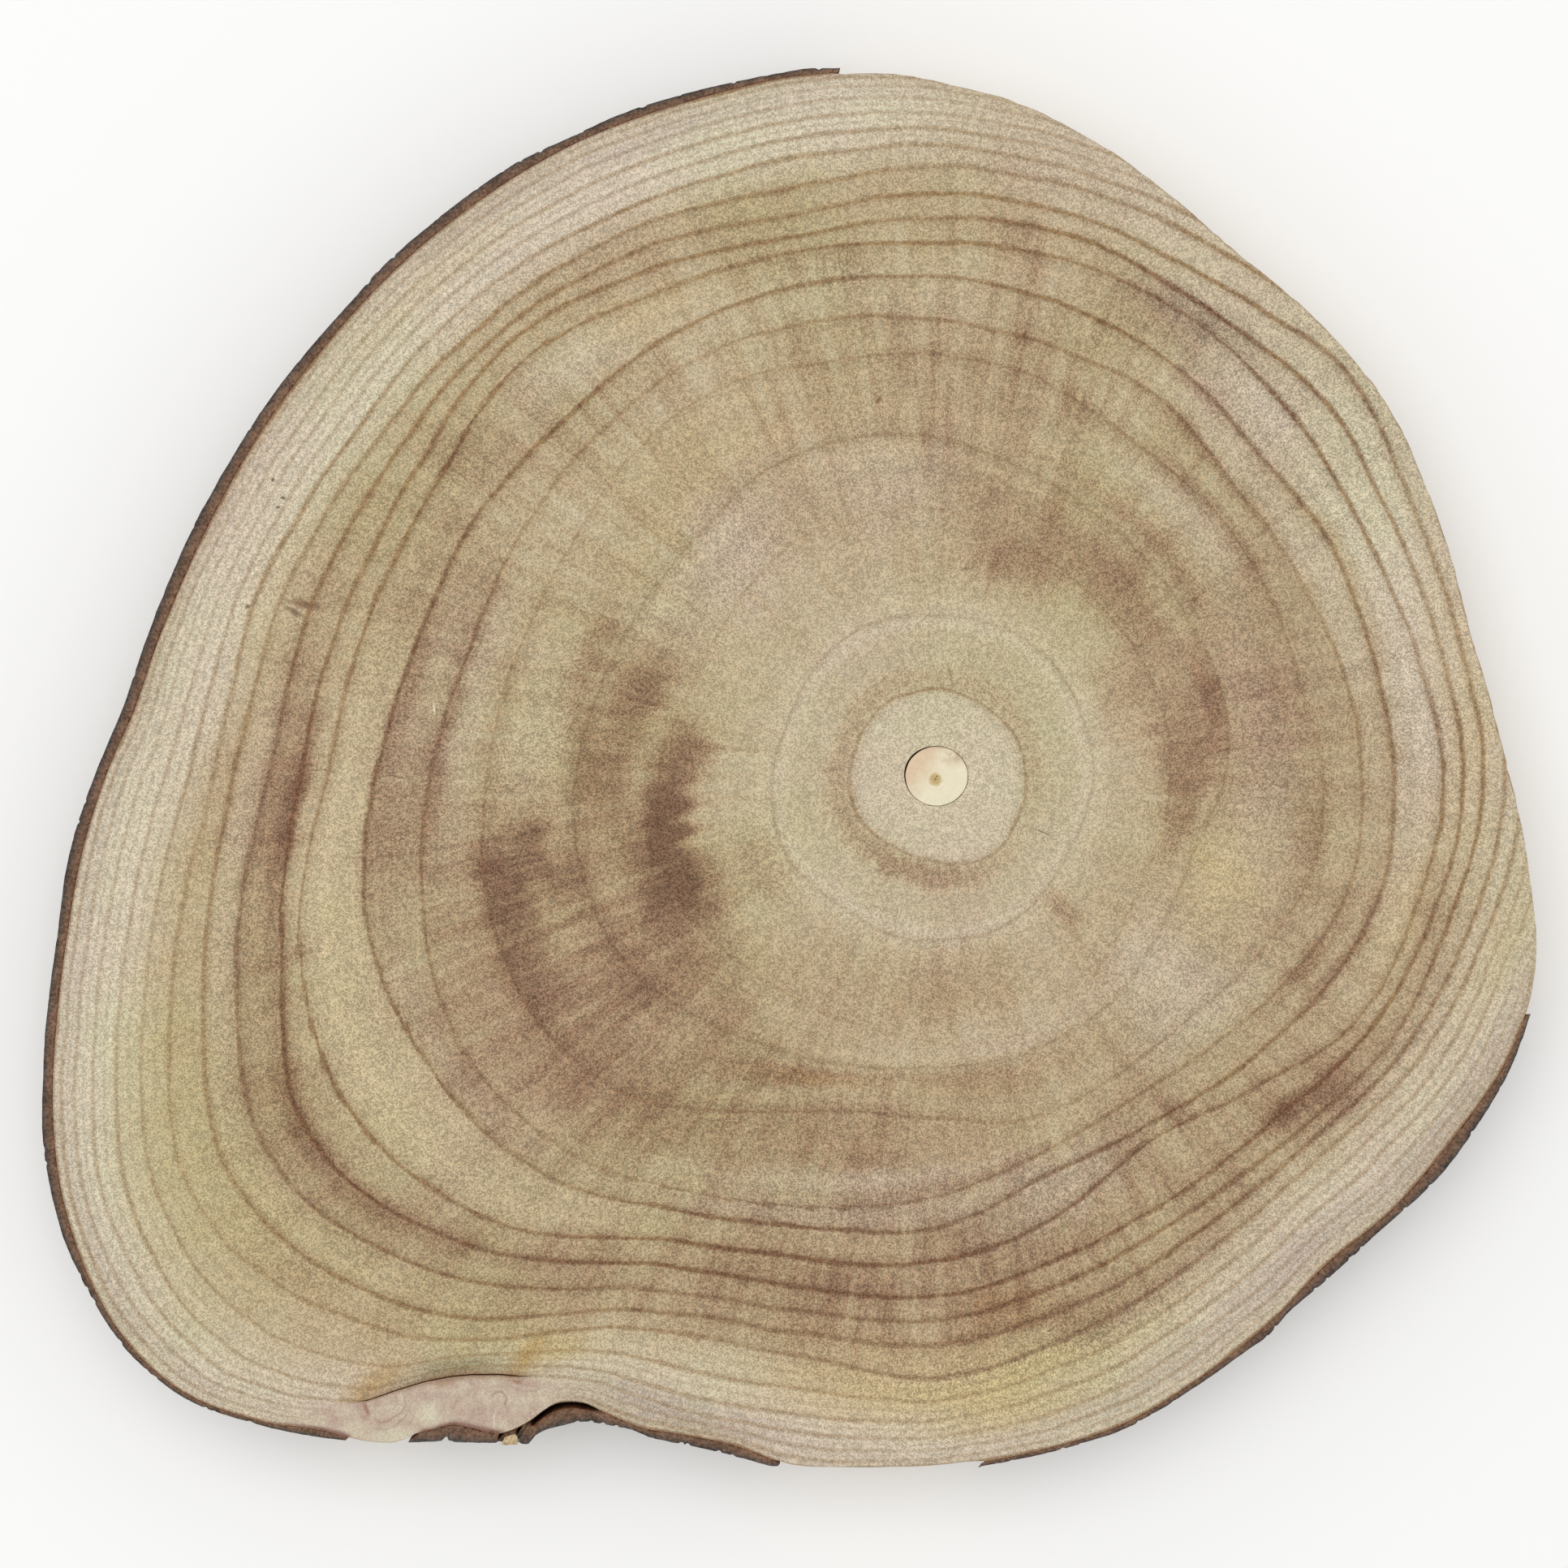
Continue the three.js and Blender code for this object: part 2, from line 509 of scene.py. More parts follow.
class SharedGroups:
    """Shader node groups that more than one finish uses, each built once."""

    def __init__(self) -> None:
        """Builds every group."""
        self.ring_lines = self._ring_lines()
        self.radial_streaks = self._radial_streaks()
        self.pores = self._pores()
        self.upright_fibres = self._upright_fibres()

    @staticmethod
    def _start(
        name: str, outputs: Sequence[str], placed: bool, **numbers: float,
    ) -> tuple[Pen, dict[str, Socket], dict[str, Socket]]:
        """Starts a group.

        Args:
            name: The group's name.
            outputs: Names of its outputs.
            placed: Whether it takes a place on the piece, as Vector.
            numbers: Its other inputs and their usual values.

        Returns:
            A pen for it, the group's inputs by name, and its output sockets by name.
        """
        tree = bpy.data.node_groups.new(name, "ShaderNodeTree")
        if placed:
            tree.interface.new_socket("Vector", in_out="INPUT", socket_type="NodeSocketVector")
        for label, value in numbers.items():
            socket = tree.interface.new_socket(label, in_out="INPUT", socket_type="NodeSocketFloat")
            socket.default_value = value
        for label in outputs:
            tree.interface.new_socket(label, in_out="OUTPUT", socket_type="NodeSocketFloat")
        entry, leave = tree.nodes.new("NodeGroupInput"), tree.nodes.new("NodeGroupOutput")
        given = {socket.name: socket for socket in entry.outputs if socket.name}
        wanted = {socket.name: socket for socket in leave.inputs if socket.name}
        return Pen(tree), given, wanted

    def _ring_lines(self) -> Tree:
        """Lines where the ring number is whole: crisp on the outer side, soft on the inner.

        Returns:
            The group.
        """
        pen, given, wanted = self._start(
            "Ring Lines", ("Line", "Late"), False, Ring=0.0, Gap=8.0, Width=0.5, Softness=2.5,
        )
        shifted = pen.maths("FRACT", pen.plus(given["Ring"], 0.5))
        beyond = pen.times(pen.maths("SUBTRACT", shifted, 0.5), given["Gap"])
        away = pen.maths("ABSOLUTE", beyond)
        pen.feed(wanted["Line"], pen.rise(away, 0.1, given["Width"], 1.0, 0.0))
        before = pen.times(beyond, -1.0)
        fading = pen.rise(before, 0.0, given["Softness"], 1.0, 0.0)
        inside = pen.rise(before, -0.15, 0.15)
        pen.feed(wanted["Late"], pen.times(fading, inside))
        return pen.tree

    def _radial_streaks(self) -> Tree:
        """Streaks that run outwards from the pith like the wood's rays.

        Returns:
            The group.
        """
        pen, given, wanted = self._start(
            "Radial Streaks", ("Streak",), True, Columns=40.0, Drift=0.03, Detail=2.0,
        )
        flat = pen.stretch(given["Vector"], (1, 1, 0))
        heading = pen.node("ShaderNodeVectorMath", {0: flat}, operation="NORMALIZE").outputs[0]
        spread = pen.node(
            "ShaderNodeVectorMath", {0: heading, "Scale": given["Columns"]}, operation="SCALE",
        ).outputs[0]
        outward = pen.times(pen.length(flat), given["Drift"])
        lifted = pen.node("ShaderNodeCombineXYZ", {2: outward}).outputs[0]
        place = pen.vector("ADD", spread, lifted)
        noise = pen.node("ShaderNodeTexNoise", {"Vector": place, "Scale": 1.0, "Detail": given["Detail"]})
        pen.feed(wanted["Streak"], noise.outputs[0])
        return pen.tree

    def _pores(self) -> Tree:
        """Fine open pores of end grain: dark dots among a paler weave.

        Returns:
            The group.
        """
        pen, given, wanted = self._start("Pores", ("Shade", "Height"), True, Size=0.6, Amount=0.5)
        fineness = pen.maths("DIVIDE", 1.0, given["Size"])
        weave = pen.noise(given["Vector"], fineness, 1.5, 0.8)
        wider = pen.noise(given["Vector"], pen.times(fineness, 0.3), 1.0)
        mixed = pen.plus(weave, pen.line(wider, 0.0, 1.0, -0.11, 0.11))
        dark = pen.rise(mixed, 0.34, 0.5, -1.0, 0.0)
        pale = pen.rise(mixed, 0.5, 0.66, 0.0, 0.85)
        swing = pen.times(pen.plus(dark, pale), given["Amount"])
        pen.feed(wanted["Shade"], pen.plus(1.0, swing))
        pen.feed(wanted["Height"], pen.rise(mixed, 0.34, 0.5))
        return pen.tree

    def _upright_fibres(self) -> Tree:
        """Fibres that run along the log, for any face that stands upright.

        Returns:
            The group.
        """
        pen, given, wanted = self._start(
            "Upright Fibres", ("Fibre", "Height"), True, Width=0.8, Length=14.0,
        )
        thin, long = (pen.maths("DIVIDE", 1.0, given[name]) for name in ("Width", "Length"))
        scale = pen.node("ShaderNodeCombineXYZ", {0: thin, 1: thin, 2: long}).outputs[0]
        place = pen.vector("MULTIPLY", given["Vector"], scale)
        fibre = pen.noise(place, 1.0, 4.0, 0.6, 0.3)
        pen.feed(wanted["Fibre"], pen.line(fibre, 0.28, 0.72, 0.0, 1.0))
        pen.feed(wanted["Height"], pen.line(fibre, 0.3, 0.6, 0.0, 1.0))
        return pen.tree


def new_material(name: str) -> tuple[Pen, Node]:
    """Starts a material.

    Args:
        name: The finish's name.

    Returns:
        A pen for its tree, and its surface shader.
    """
    made = bpy.data.materials.new(name)
    made.use_nodes = True
    pen = Pen(made.node_tree)
    return pen, made.node_tree.nodes["Principled BSDF"]


def dress(
    pen: Pen, shader: Node, colour: Socket, rough: Socket, height: Socket, relief: float,
) -> None:
    """Joins a finish's results to its surface shader.

    Args:
        pen: Draws in the material's tree.
        shader: Its surface shader.
        colour: Base colour.
        rough: Roughness.
        height: Height, 0 to 1.
        relief: How many millimetres the height stands for.
    """
    pen.feed(shader.inputs["Base Color"], colour)
    pen.feed(shader.inputs["Roughness"], rough)
    bump = pen.node("ShaderNodeBump", {"Strength": 1.0, "Distance": relief * METRES, "Height": height})
    pen.feed(shader.inputs["Normal"], bump.outputs["Normal"])
    shader.inputs["Specular IOR Level"].default_value = 0.25


# ---- how the tree grew


@dataclass(frozen=True)
class GrowthRing:
    """One year's ring: how strongly it shows, and its radius every 15 degrees."""

    strength: float
    radii: tuple[float, ...]


RINGS = (
    GrowthRing(0.62, (
        20, 20, 20, 19.5, 19.5, 19.5, 20, 20, 20.5, 20, 20, 19.5,
        20, 20, 20, 19.5, 19, 19, 19.5, 20.5, 21.5, 21.5, 20.5, 20.5,
    )),
    GrowthRing(0.34, (
        35.5, 35.5, 36, 36.5, 37, 37, 37, 37.5, 38, 37.5, 36.5, 36.5,
        37.5, 38.5, 38.5, 37.5, 37, 37.5, 37.5, 37.5, 37, 35.5, 34.5, 35,
    )),
    GrowthRing(0.28, (
        53.5, 53.5, 53.5, 54, 55.5, 57.5, 61, 62, 62.5, 61, 59.5, 60.5,
        63.5, 65, 65, 61.5, 60, 59.5, 61, 62, 60, 56, 53, 52.5,
    )),
    GrowthRing(0.38, (
        65.5, 67.5, 67.5, 68.5, 70, 73, 77.5, 79.5, 80, 77.5, 77.5, 79.5,
        82.5, 84, 83, 77.5, 72, 68.5, 66, 66, 65.5, 63.5, 61, 61,
    )),
    GrowthRing(0.45, (
        88, 85.5, 86.5, 88, 88.5, 93.5, 96.5, 98, 102, 101, 99, 100,
        103, 106.5, 107, 102, 88, 79, 78, 81, 79.5, 79.5, 83.5, 88,
    )),
    GrowthRing(0.60, (
        97, 95.5, 94, 95, 100, 101.5, 104, 107.5, 110, 110, 110, 110.5,
        115.5, 121.5, 125, 120.5, 110, 102, 96, 89.5, 86, 87.5, 92.5, 97,
    )),
    GrowthRing(0.90, (
        104, 103, 104, 104, 108, 111.5, 114, 116, 117.5, 117.5, 120.5, 122.5,
        128, 134.5, 133, 127.5, 114.5, 106.5, 103, 94.5, 93, 95.5, 100, 104.5,
    )),
    GrowthRing(0.95, (
        115.5, 113, 112, 115.5, 119.5, 121.5, 122, 124, 127.5, 134, 132.5, 135,
        139.5, 151, 154, 143.5, 122, 114, 110.5, 104, 96, 101, 111, 113.5,
    )),
    GrowthRing(0.95, (
        120, 118.5, 119, 123, 123, 127, 127.5, 127.5, 133, 139, 138, 140.5,
        145.5, 154.5, 165, 151, 128.5, 120.5, 118.5, 113, 110, 110, 114.5, 117.5,
    )),
    GrowthRing(0.85, (
        124.5, 123, 125, 131, 129, 131.5, 133, 132.5, 138, 142, 144, 148,
        152.5, 165.5, 175, 160, 135, 126, 124, 118.5, 114.5, 115.5, 120, 121.5,
    )),
    GrowthRing(0.75, (
        129.5, 128.5, 131.5, 137, 136, 138, 139, 138.5, 143, 146, 149.5, 155,
        160.5, 173, 185, 171, 140.5, 131, 129.5, 124.5, 119.5, 119, 123.5, 126.5,
    )),
    GrowthRing(0.65, (
        134, 133, 136, 141, 140, 141.5, 144, 145, 148, 152, 154.5, 160.5,
        165, 180.5, 195, 178.5, 145, 136, 137, 130.5, 124.5, 123, 127.5, 130.5,
    )),
)

# The last, narrow years lie at these shares of the way from there to the bark.
LATE_SHARES = (0.24, 0.46, 0.66, 0.81, 0.92)
LATE_STRENGTH = 0.36
BARK_STRENGTH = 0.9
LEAST_GAP = 1.2

# At the wound, the first of them lie on its inner side and the others in the callus.
INSIDE_SHARES = (0.46, 0.80, 1.0)
CALLUS_SHARES = (0.38, 0.72)

# How far a ring's line fades and gathers along its way, and how much more it does in late years.
RING_FADE = 0.3
LATE_FADE = 0.8
LATE_YEARS = (11, 13)

# Where the side was sawn off, the bark would have stood this far out; it is gone between the ends.
SAWN_OFF = (
    (-20, 143.5), (-15, 146), (0, 146), (15, 146), (30, 147), (45, 148), (60, 151), (75, 154.5),
    (90, 160), (96, 162),
)
SAWN_OFF_ENDS = ((-20, -16), (92, 96))

# The line where the callus closed over the wound, and the same with its way on past both ends.
CRACK_LINE = (
    (226.8, 195.4), (227.5, 193.1), (228.7, 185.9), (229.8, 180.4), (231.0, 175.9),
    (232.2, 172.5), (233.8, 168.9), (235.2, 166.5), (236.0, 164.9),
)
GUIDE_LINE = (
    (215, 216), (220, 211.8), (224, 203.6), *CRACK_LINE,
    (238, 161.5), (241, 158), (245, 156.5), (255, 153.5), (270, 151.5),
)
GUIDE_SHARE = 0.96
GUIDE_MARGIN = 3.0

# How far before and past its first and last point a line is eased in and out, in degrees.
GUIDE_EASE = ((-12, 0), (0, 25))
RINGS_EASE = ((-10, 5), (-20, 5))
SLIT_EASE = ((0, 1.2), (-1.6, 0.2))
CALLUS_EASE = ((-4, 1), (-0.5, 6))


@dataclass(frozen=True)
class Patch:
    """A patch on the sawn face: its angle and ring number, its reach both ways, its strength.

    PATCHES gives these five for each patch, in the order of the fields.
    """

    degrees: float
    ring: float
    half_degrees: float
    half_rings: float
    strength: float


PATCHES: dict[Tint, tuple[tuple[float, ...], ...]] = {
    Tint.DARK: (
        (186, 2.9, 11, 0.25, 0.7), (204, 2.74, 6, 0.22, 0.4), (174, 2.74, 5, 0.22, 0.35),
        (203, 3.1, 14, 0.34, 0.55), (181, 3.65, 9, 0.35, 0.35), (212, 3.7, 9, 0.45, 0.16),
        (236, 3.95, 9, 0.5, 0.28), (206, 2.25, 10, 0.22, 0.28), (190, 4.42, 5, 0.18, 0.4),
        (197, 4.15, 6, 0.25, 0.25), (168, 4.12, 7, 0.3, 0.25), (191, 6.7, 8, 0.4, 0.2),
        (246, 4.33, 9, 0.2, 0.38), (272, 2.4, 26, 0.38, 0.26), (314, 2.3, 3.5, 0.3, 0.45),
        (285, 4.35, 22, 0.25, 0.14), (26, 2.6, 9, 0.35, 0.28), (72, 2.55, 16, 0.4, 0.12),
        (158, 4.22, 8, 0.16, 0.28), (140, 3.3, 16, 0.35, 0.12), (58, 5.5, 5, 0.5, 0.14),
        (211, 6.5, 10, 0.45, 0.18), (218, 9.6, 4.5, 0.7, 0.2), (218, 11.5, 4.5, 0.6, 0.18),
        (323, 8.4, 7, 1.3, 0.2), (345, 8.9, 4, 0.6, 0.26), (103, 5.0, 5, 0.3, 0.2),
        (198, 4.2, 26, 0.9, 0.26), (199, 4.85, 11, 0.28, 0.4), (165, 3.5, 7, 0.32, 0.5),
        (222, 5.2, 20, 0.55, 0.14), (196, 5.6, 14, 0.45, 0.14), (52, 3.3, 34, 0.45, 0.28),
        (70, 2.7, 13, 0.26, 0.28), (17, 3.84, 9, 0.18, 0.45), (8, 3.3, 11, 0.5, 0.22),
        (351, 3.3, 12, 0.42, 0.32), (12, 4.5, 26, 0.36, 0.18), (48, 4.22, 22, 0.12, 0.25),
        (45, 5.0, 20, 0.25, 0.28), (51, 5.95, 11, 0.24, 0.28), (55, 7.0, 6, 0.22, 0.25),
        (62, 8.35, 6.5, 0.85, 0.36), (176, 5.95, 11, 0.2, 0.26), (173, 6.85, 11, 0.2, 0.32),
        (172, 6.4, 22, 0.6, 0.06), (160, 7.4, 8, 0.38, 0.22), (182, 9.0, 9, 0.4, 0.45),
        (210, 9.0, 14, 0.32, 0.28), (179, 9.6, 10, 0.75, 0.3), (210, 9.7, 20, 0.9, 0.12),
        (255, 5.2, 20, 0.5, 0.22), (262, 6.5, 32, 0.6, 0.08), (270, 8.4, 38, 2.2, 0.22),
        (275, 9.9, 5, 0.65, 0.3), (272, 5.9, 12, 0.18, 0.25), (266, 4.22, 18, 0.14, 0.22),
        (104, 5.6, 4, 0.35, 0.2), (92, 5.0, 4, 0.3, 0.18), (69, 5.0, 3.5, 0.4, 0.25),
        (352, 4.95, 6, 0.25, 0.25), (276, 10.9, 8, 0.24, 0.4), (318, 9.2, 7, 0.42, 0.42),
        (320, 10.5, 4.5, 0.95, 0.35), (335, 6.15, 9, 0.3, 0.32), (336, 6.95, 9, 0.22, 0.32),
        (303, 6.4, 6, 1.6, 0.24), (288, 12.2, 8, 0.5, 0.25), (280, 13.2, 15, 1.7, 0.24),
        (255, 1.17, 50, 0.17, 0.5), (150, 1.16, 60, 0.15, 0.3), (40, 1.16, 60, 0.15, 0.25),
        (270, 11.6, 22, 1.2, 0.24),
    ),
    Tint.LIGHT: (
        (198, 7.5, 30, 0.47, 0.36), (100, 6.8, 20, 0.7, 0.15), (15, 4.4, 22, 0.3, 0.1),
        (45, 4.7, 14, 0.2, 0.3), (346, 4.5, 14, 0.3, 0.3), (170, 5.6, 18, 0.35, 0.25),
        (172, 6.5, 14, 0.4, 0.15), (262, 6.4, 26, 0.55, 0.25), (287, 7.4, 10, 0.9, 0.34),
        (52, 7.0, 9, 0.9, 0.25), (190, 15.4, 24, 0.5, 0.5), (150, 14.6, 30, 0.6, 0.4),
        (205, 6.6, 12, 0.3, 0.15), (30, 7.6, 22, 0.5, 0.6), (356, 7.5, 16, 0.45, 0.35),
        (26, 6.5, 20, 0.4, 0.45), (30, 8.7, 20, 0.95, 0.45), (135, 3.4, 15, 0.62, 0.45),
        (101, 3.3, 10, 0.62, 0.3), (172, 4.5, 9, 0.32, 0.45), (318, 4.5, 10, 1.3, 0.45),
        (288, 3.4, 22, 0.5, 0.25), (260, 5.72, 18, 0.12, 0.3), (130, 7.5, 7, 0.4, 0.4),
        (190, 10.5, 18, 0.5, 0.25),
    ),
    Tint.MAUVE: (
        (215, 16.6, 10, 0.9, 0.5), (246, 16.6, 8, 1.2, 0.9), (112, 15.4, 12, 1.0, 0.5),
        (128, 16.2, 6, 0.9, 0.5), (246, 15.0, 8, 1.0, 0.9), (306, 15.4, 9, 1.2, 0.8),
        (326, 16.4, 12, 1.6, 0.7), (288, 15.6, 10, 1.2, 0.5), (185, 16.6, 25, 0.8, 0.35),
    ),
    Tint.YELLOW: (
        (236.5, 12.8, 3.0, 0.8, 1.0), (198, 7.5, 30, 0.47, 0.6), (172, 4.5, 9, 0.32, 0.4),
        (125, 4.6, 20, 0.4, 0.4), (340, 4.3, 9, 0.42, 0.8), (346, 7.7, 8, 0.55, 0.6),
        (268, 12.1, 11, 1.4, 0.8), (278, 13.8, 11, 1.8, 1.1), (121, 7.7, 6, 0.6, 0.6),
        (163, 11.8, 6, 1.0, 0.4), (137, 14.6, 8, 1.0, 0.4), (343, 13.2, 9, 1.2, 0.5),
        (258, 13.3, 10, 0.9, 0.5), (6, 9.4, 14, 1.3, 0.6), (205, 12.3, 28, 2.2, 0.35),
    ),
    Tint.GREY: (
        (25, 5.45, 25, 0.45, 0.15), (58, 8.6, 6, 0.8, 0.2), (230.6, 14.3, 2.6, 1.2, 1.0),
    ),
    Tint.ORANGE: (
        (248, 4.36, 8, 0.13, 0.3), (272, 4.46, 16, 0.09, 0.18), (276, 10.0, 5, 0.9, 0.25),
        (227.2, 14.2, 1.0, 1.3, 1.0), (234.7, 13.6, 0.8, 1.7, 1.0),
    ),
    Tint.STREAKS: (
        (105, 6.2, 55, 2.4, 1.0), (275, 9.0, 45, 3.5, 0.8), (200, 4.9, 35, 1.7, 0.6),
    ),
}


@dataclass(frozen=True)
class Tones:
    """How the colour runs from the pith to the bark, before any patch; places are ring numbers."""

    even_stain: float = 0.14
    heart_stain: float = 0.20
    cloud_stain: float = 0.10
    heart: tuple[Span, Span] = ((2.0, 3.4), (10.5, 14.0))
    near_pith: Span = (0.93, 1.02)
    near_pith_pale: float = 0.45
    near_pith_yellow: float = 0.08
    next_pith: Span = (1.9, 2.6)
    next_pith_pale: float = 0.10
    pale_ring: float = 1.93
    pale_ring_half: float = 0.1
    pale_ring_strength: float = 0.35


@dataclass(frozen=True)
class Sapwood:
    """How the last wood under the bark pales; its depth is in millimetres, its ends in degrees."""

    depth: Span = (6, 28)
    barked: tuple[Span, Span] = ((86, 98), (336, 346))
    white_anywhere: float = 0.55
    white_barked: float = 0.45
    left: tuple[Span, Span] = ((85, 110), (185, 210))
    pale: float = 0.95
    pale_left: float = 0.7
    yellow: float = 0.12
    yellow_depth: Span = (2, 9)


@dataclass
class Growth:
    """Everything that changes over the sawn faces, worked out from the way the tree grew."""

    pith: Array
    outline: PlanOutline
    bark: Sequence[PlanOutline]
    tones: Tones = Tones()
    sapwood: Sapwood = Sapwood()

    @staticmethod
    def _beside(line: Sequence[Span], ease: tuple[Span, Span], degrees: Array) -> Array:
        """How far each angle lies beside a line of knots, eased in and out at its ends.

        Args:
            line: The line's angles and radii.
            ease: Where it eases in and out, measured from its first and last angle.
            degrees: The angles.

        Returns:
            0 to 1 at each angle.
        """
        rise, fall = (
            (knot[0] + shift[0], knot[0] + shift[1]) for knot, shift in zip((line[0], line[-1]), ease)
        )
        return between(rise, fall, degrees)

    def guide(self, degrees: Array, edge: Array) -> Array:
        """The row of the disc's grid that follows the closed wound.

        Args:
            degrees: Angle of each column.
            edge: Radius of the wood's edge there.

        Returns:
            The radius of that row.
        """
        knots = np.array(GUIDE_LINE)
        near = np.interp(degrees, knots[:, 0], knots[:, 1])
        share = self._beside(GUIDE_LINE, GUIDE_EASE, degrees)
        held = GUIDE_SHARE * edge
        return np.minimum(held * (1 - share) + near * share, edge - GUIDE_MARGIN)

    def crack_depth(self, degrees: Array) -> Array:
        """How deep the closed wound's slit is, 0 to 1, at each angle."""
        return self._beside(CRACK_LINE, SLIT_EASE, degrees)

    def limits(self, degrees: Array, bore: Array, edge: Array) -> Array:
        """Radius of the bore, of every ring and of the bark at each angle.

        Args:
            degrees: Angle of each column.
            bore: Radius of the bore there.
            edge: Radius of the wood's edge there.

        Returns:
            One row for each limit, from the bore outwards.
        """
        sawn = np.array(SAWN_OFF)
        turn = off_heading(degrees, 0.0)
        outer = np.interp(turn, sawn[:, 0], sawn[:, 1])
        off = between(*SAWN_OFF_ENDS, turn)
        bark = edge * (1 - off) + np.maximum(outer, edge) * off
        found = [bore] + [around(ring.radii, degrees) for ring in RINGS]
        last, guide = found[-1], self.guide(degrees, edge)
        share = self._beside(GUIDE_LINE, RINGS_EASE, degrees)
        by_wound = [last + (guide - last) * part for part in INSIDE_SHARES]
        by_wound += [guide + (bark - guide) * part for part in CALLUS_SHARES]
        for part, near in zip(LATE_SHARES, by_wound):
            found.append((last + (bark - last) * part) * (1 - share) + near * share)
        found.append(bark)
        for index in range(1, len(found)):
            found[index] = np.maximum(found[index], found[index - 1] + LEAST_GAP)
        return np.array(found)

    def masks(self, degrees: Array, radius: Array, bore: Array, edge: Array) -> dict[str, Array]:
        """Every mask of the sawn faces.

        Args:
            degrees: Angle of each column.
            radius: Radius of each grid point, a row of points for each column.
            bore: Radius of the bore at each column.
            edge: Radius of the wood's edge at each column.

        Returns:
            The masks by name.
        """
        limits = self.limits(degrees, bore, edge)
        number = np.zeros_like(radius)
        for inner, outer in zip(limits[:-1], limits[1:]):
            number += np.clip((radius - inner[:, None]) / (outer - inner)[:, None], 0, 1)
        band = np.clip(np.floor(number).astype(int), 0, len(limits) - 2)
        gap = np.diff(limits, axis=0)[band, np.arange(len(degrees))[:, None]]
        strengths = [0.0] + [ring.strength for ring in RINGS]
        strengths += [LATE_STRENGTH] * len(LATE_SHARES) + [BARK_STRENGTH]
        strength = np.interp(number, np.arange(len(strengths)), strengths)
        turn = np.broadcast_to(degrees[:, None], radius.shape)
        fade = SoftNoise(41, 24).at(turn / 15, number * 1.1)
        fade = fade * (1 + LATE_FADE * smooth_step(*LATE_YEARS, number))
        made = {"ring": number, "gap": gap, "strength": strength * (1 + RING_FADE * fade)}
        made |= self._tints(turn, radius, number, edge)
        made |= self._wound(turn, radius, edge)
        return made

    def _tints(self, turn: Array, radius: Array, number: Array, edge: Array) -> dict[str, Array]:
        """Stains and pale patches.

        Args:
            turn: Angle of each grid point.
            radius: Radius of each grid point.
            number: Ring number of each grid point.
            edge: Radius of the wood's edge at each column.

        Returns:
            One mask for each tint.
        """
        made = {tint: self._patched(tint, turn, number) for tint in Tint}
        tones, sapwood = self.tones, self.sapwood
        left = edge[:, None] - radius
        heart = between(*tones.heart, number)
        made[Tint.DARK] += tones.even_stain + tones.heart_stain * heart
        cloud = SoftNoise(14, 18).at(turn / 20, number * 0.8)
        made[Tint.DARK] += tones.cloud_stain * cloud * heart
        barked = between(*sapwood.barked, turn)
        whiter = sapwood.white_anywhere + sapwood.white_barked * barked
        whiter = (1 - smooth_step(*sapwood.depth, left)) * whiter
        side = between(*sapwood.left, turn)
        made[Tint.LIGHT] += whiter * (sapwood.pale + sapwood.pale_left * side)
        made[Tint.YELLOW] += sapwood.yellow * whiter * smooth_step(*sapwood.yellow_depth, left)
        near_pith = 1 - smooth_step(*tones.near_pith, number)
        made[Tint.LIGHT] += tones.near_pith_pale * near_pith
        made[Tint.YELLOW] += tones.near_pith_yellow * near_pith
        made[Tint.LIGHT] += tones.next_pith_pale * (1 - smooth_step(*tones.next_pith, number))
        off_ring = (number - tones.pale_ring) / tones.pale_ring_half
        made[Tint.LIGHT] += tones.pale_ring_strength * np.exp(-(off_ring**2))
        return {tint.value: mask for tint, mask in made.items()}

    @staticmethod
    def _patched(tint: Tint, turn: Array, number: Array) -> Array:
        """All the patches of one tint, with ragged edges.

        Args:
            tint: The tint.
            turn: Angle of each grid point.
            number: Ring number of each grid point.

        Returns:
            The mask of that tint.
        """
        ragged = 0.22 * SoftNoise(11, 120).at(turn / 3, number * 0.7)
        ragged += 0.12 * SoftNoise(12, 300).at(turn / 1.2, number * 0.9)
        swing = 4.0 * SoftNoise(13, 36).at(turn / 10, number * 1.3)
        made = np.zeros_like(number)
        for patch in (Patch(*row) for row in PATCHES[tint]):
            sway = swing * min(1.0, patch.half_degrees / 12)
            across = off_heading(turn + sway, patch.degrees) / patch.half_degrees
            push = min(1.0, patch.half_rings / 0.6)
            outward = (number + push * ragged - patch.ring) / patch.half_rings
            made += patch.strength * np.exp(-(across**2) - outward**4)
        return made

    def _wound(self, turn: Array, radius: Array, edge: Array) -> dict[str, Array]:
        """The callus that closed over the wound, and the groove it left.

        Args:
            turn: Angle of each grid point.
            radius: Radius of each grid point.
            edge: Radius of the wood's edge at each column.

        Returns:
            The callus, the groove's mask of included bark and painted shade, the browned halo beside it, and
            the bast beside the bark.
        """
        degrees = turn[:, 0]
        share = self._beside(CRACK_LINE, CALLUS_EASE, degrees)[:, None]
        depth = self.crack_depth(degrees)[:, None]
        beyond = radius - self.guide(degrees, edge)[:, None]
        callus = share * smooth_step(-0.2, 0.6, beyond)
        # Where the groove is painted dark: partly included bark, partly painted shade inside it.
        slit_bark_and_shade = depth * (1 - smooth_step(0.02, 0.25, np.abs(beyond)))
        browned = depth * np.exp(-((beyond / 0.8) ** 2))
        left = edge[:, None] - radius
        healed = 0.4 + 0.6 * share
        bast = self.covered(degrees, edge)[:, None] * healed
        bast = bast * (1 - smooth_step(0.1, 0.7 + 0.9 * share, left))
        return {"callus": callus, "slit_bark_and_shade": slit_bark_and_shade, "browned": browned, "bast": bast}

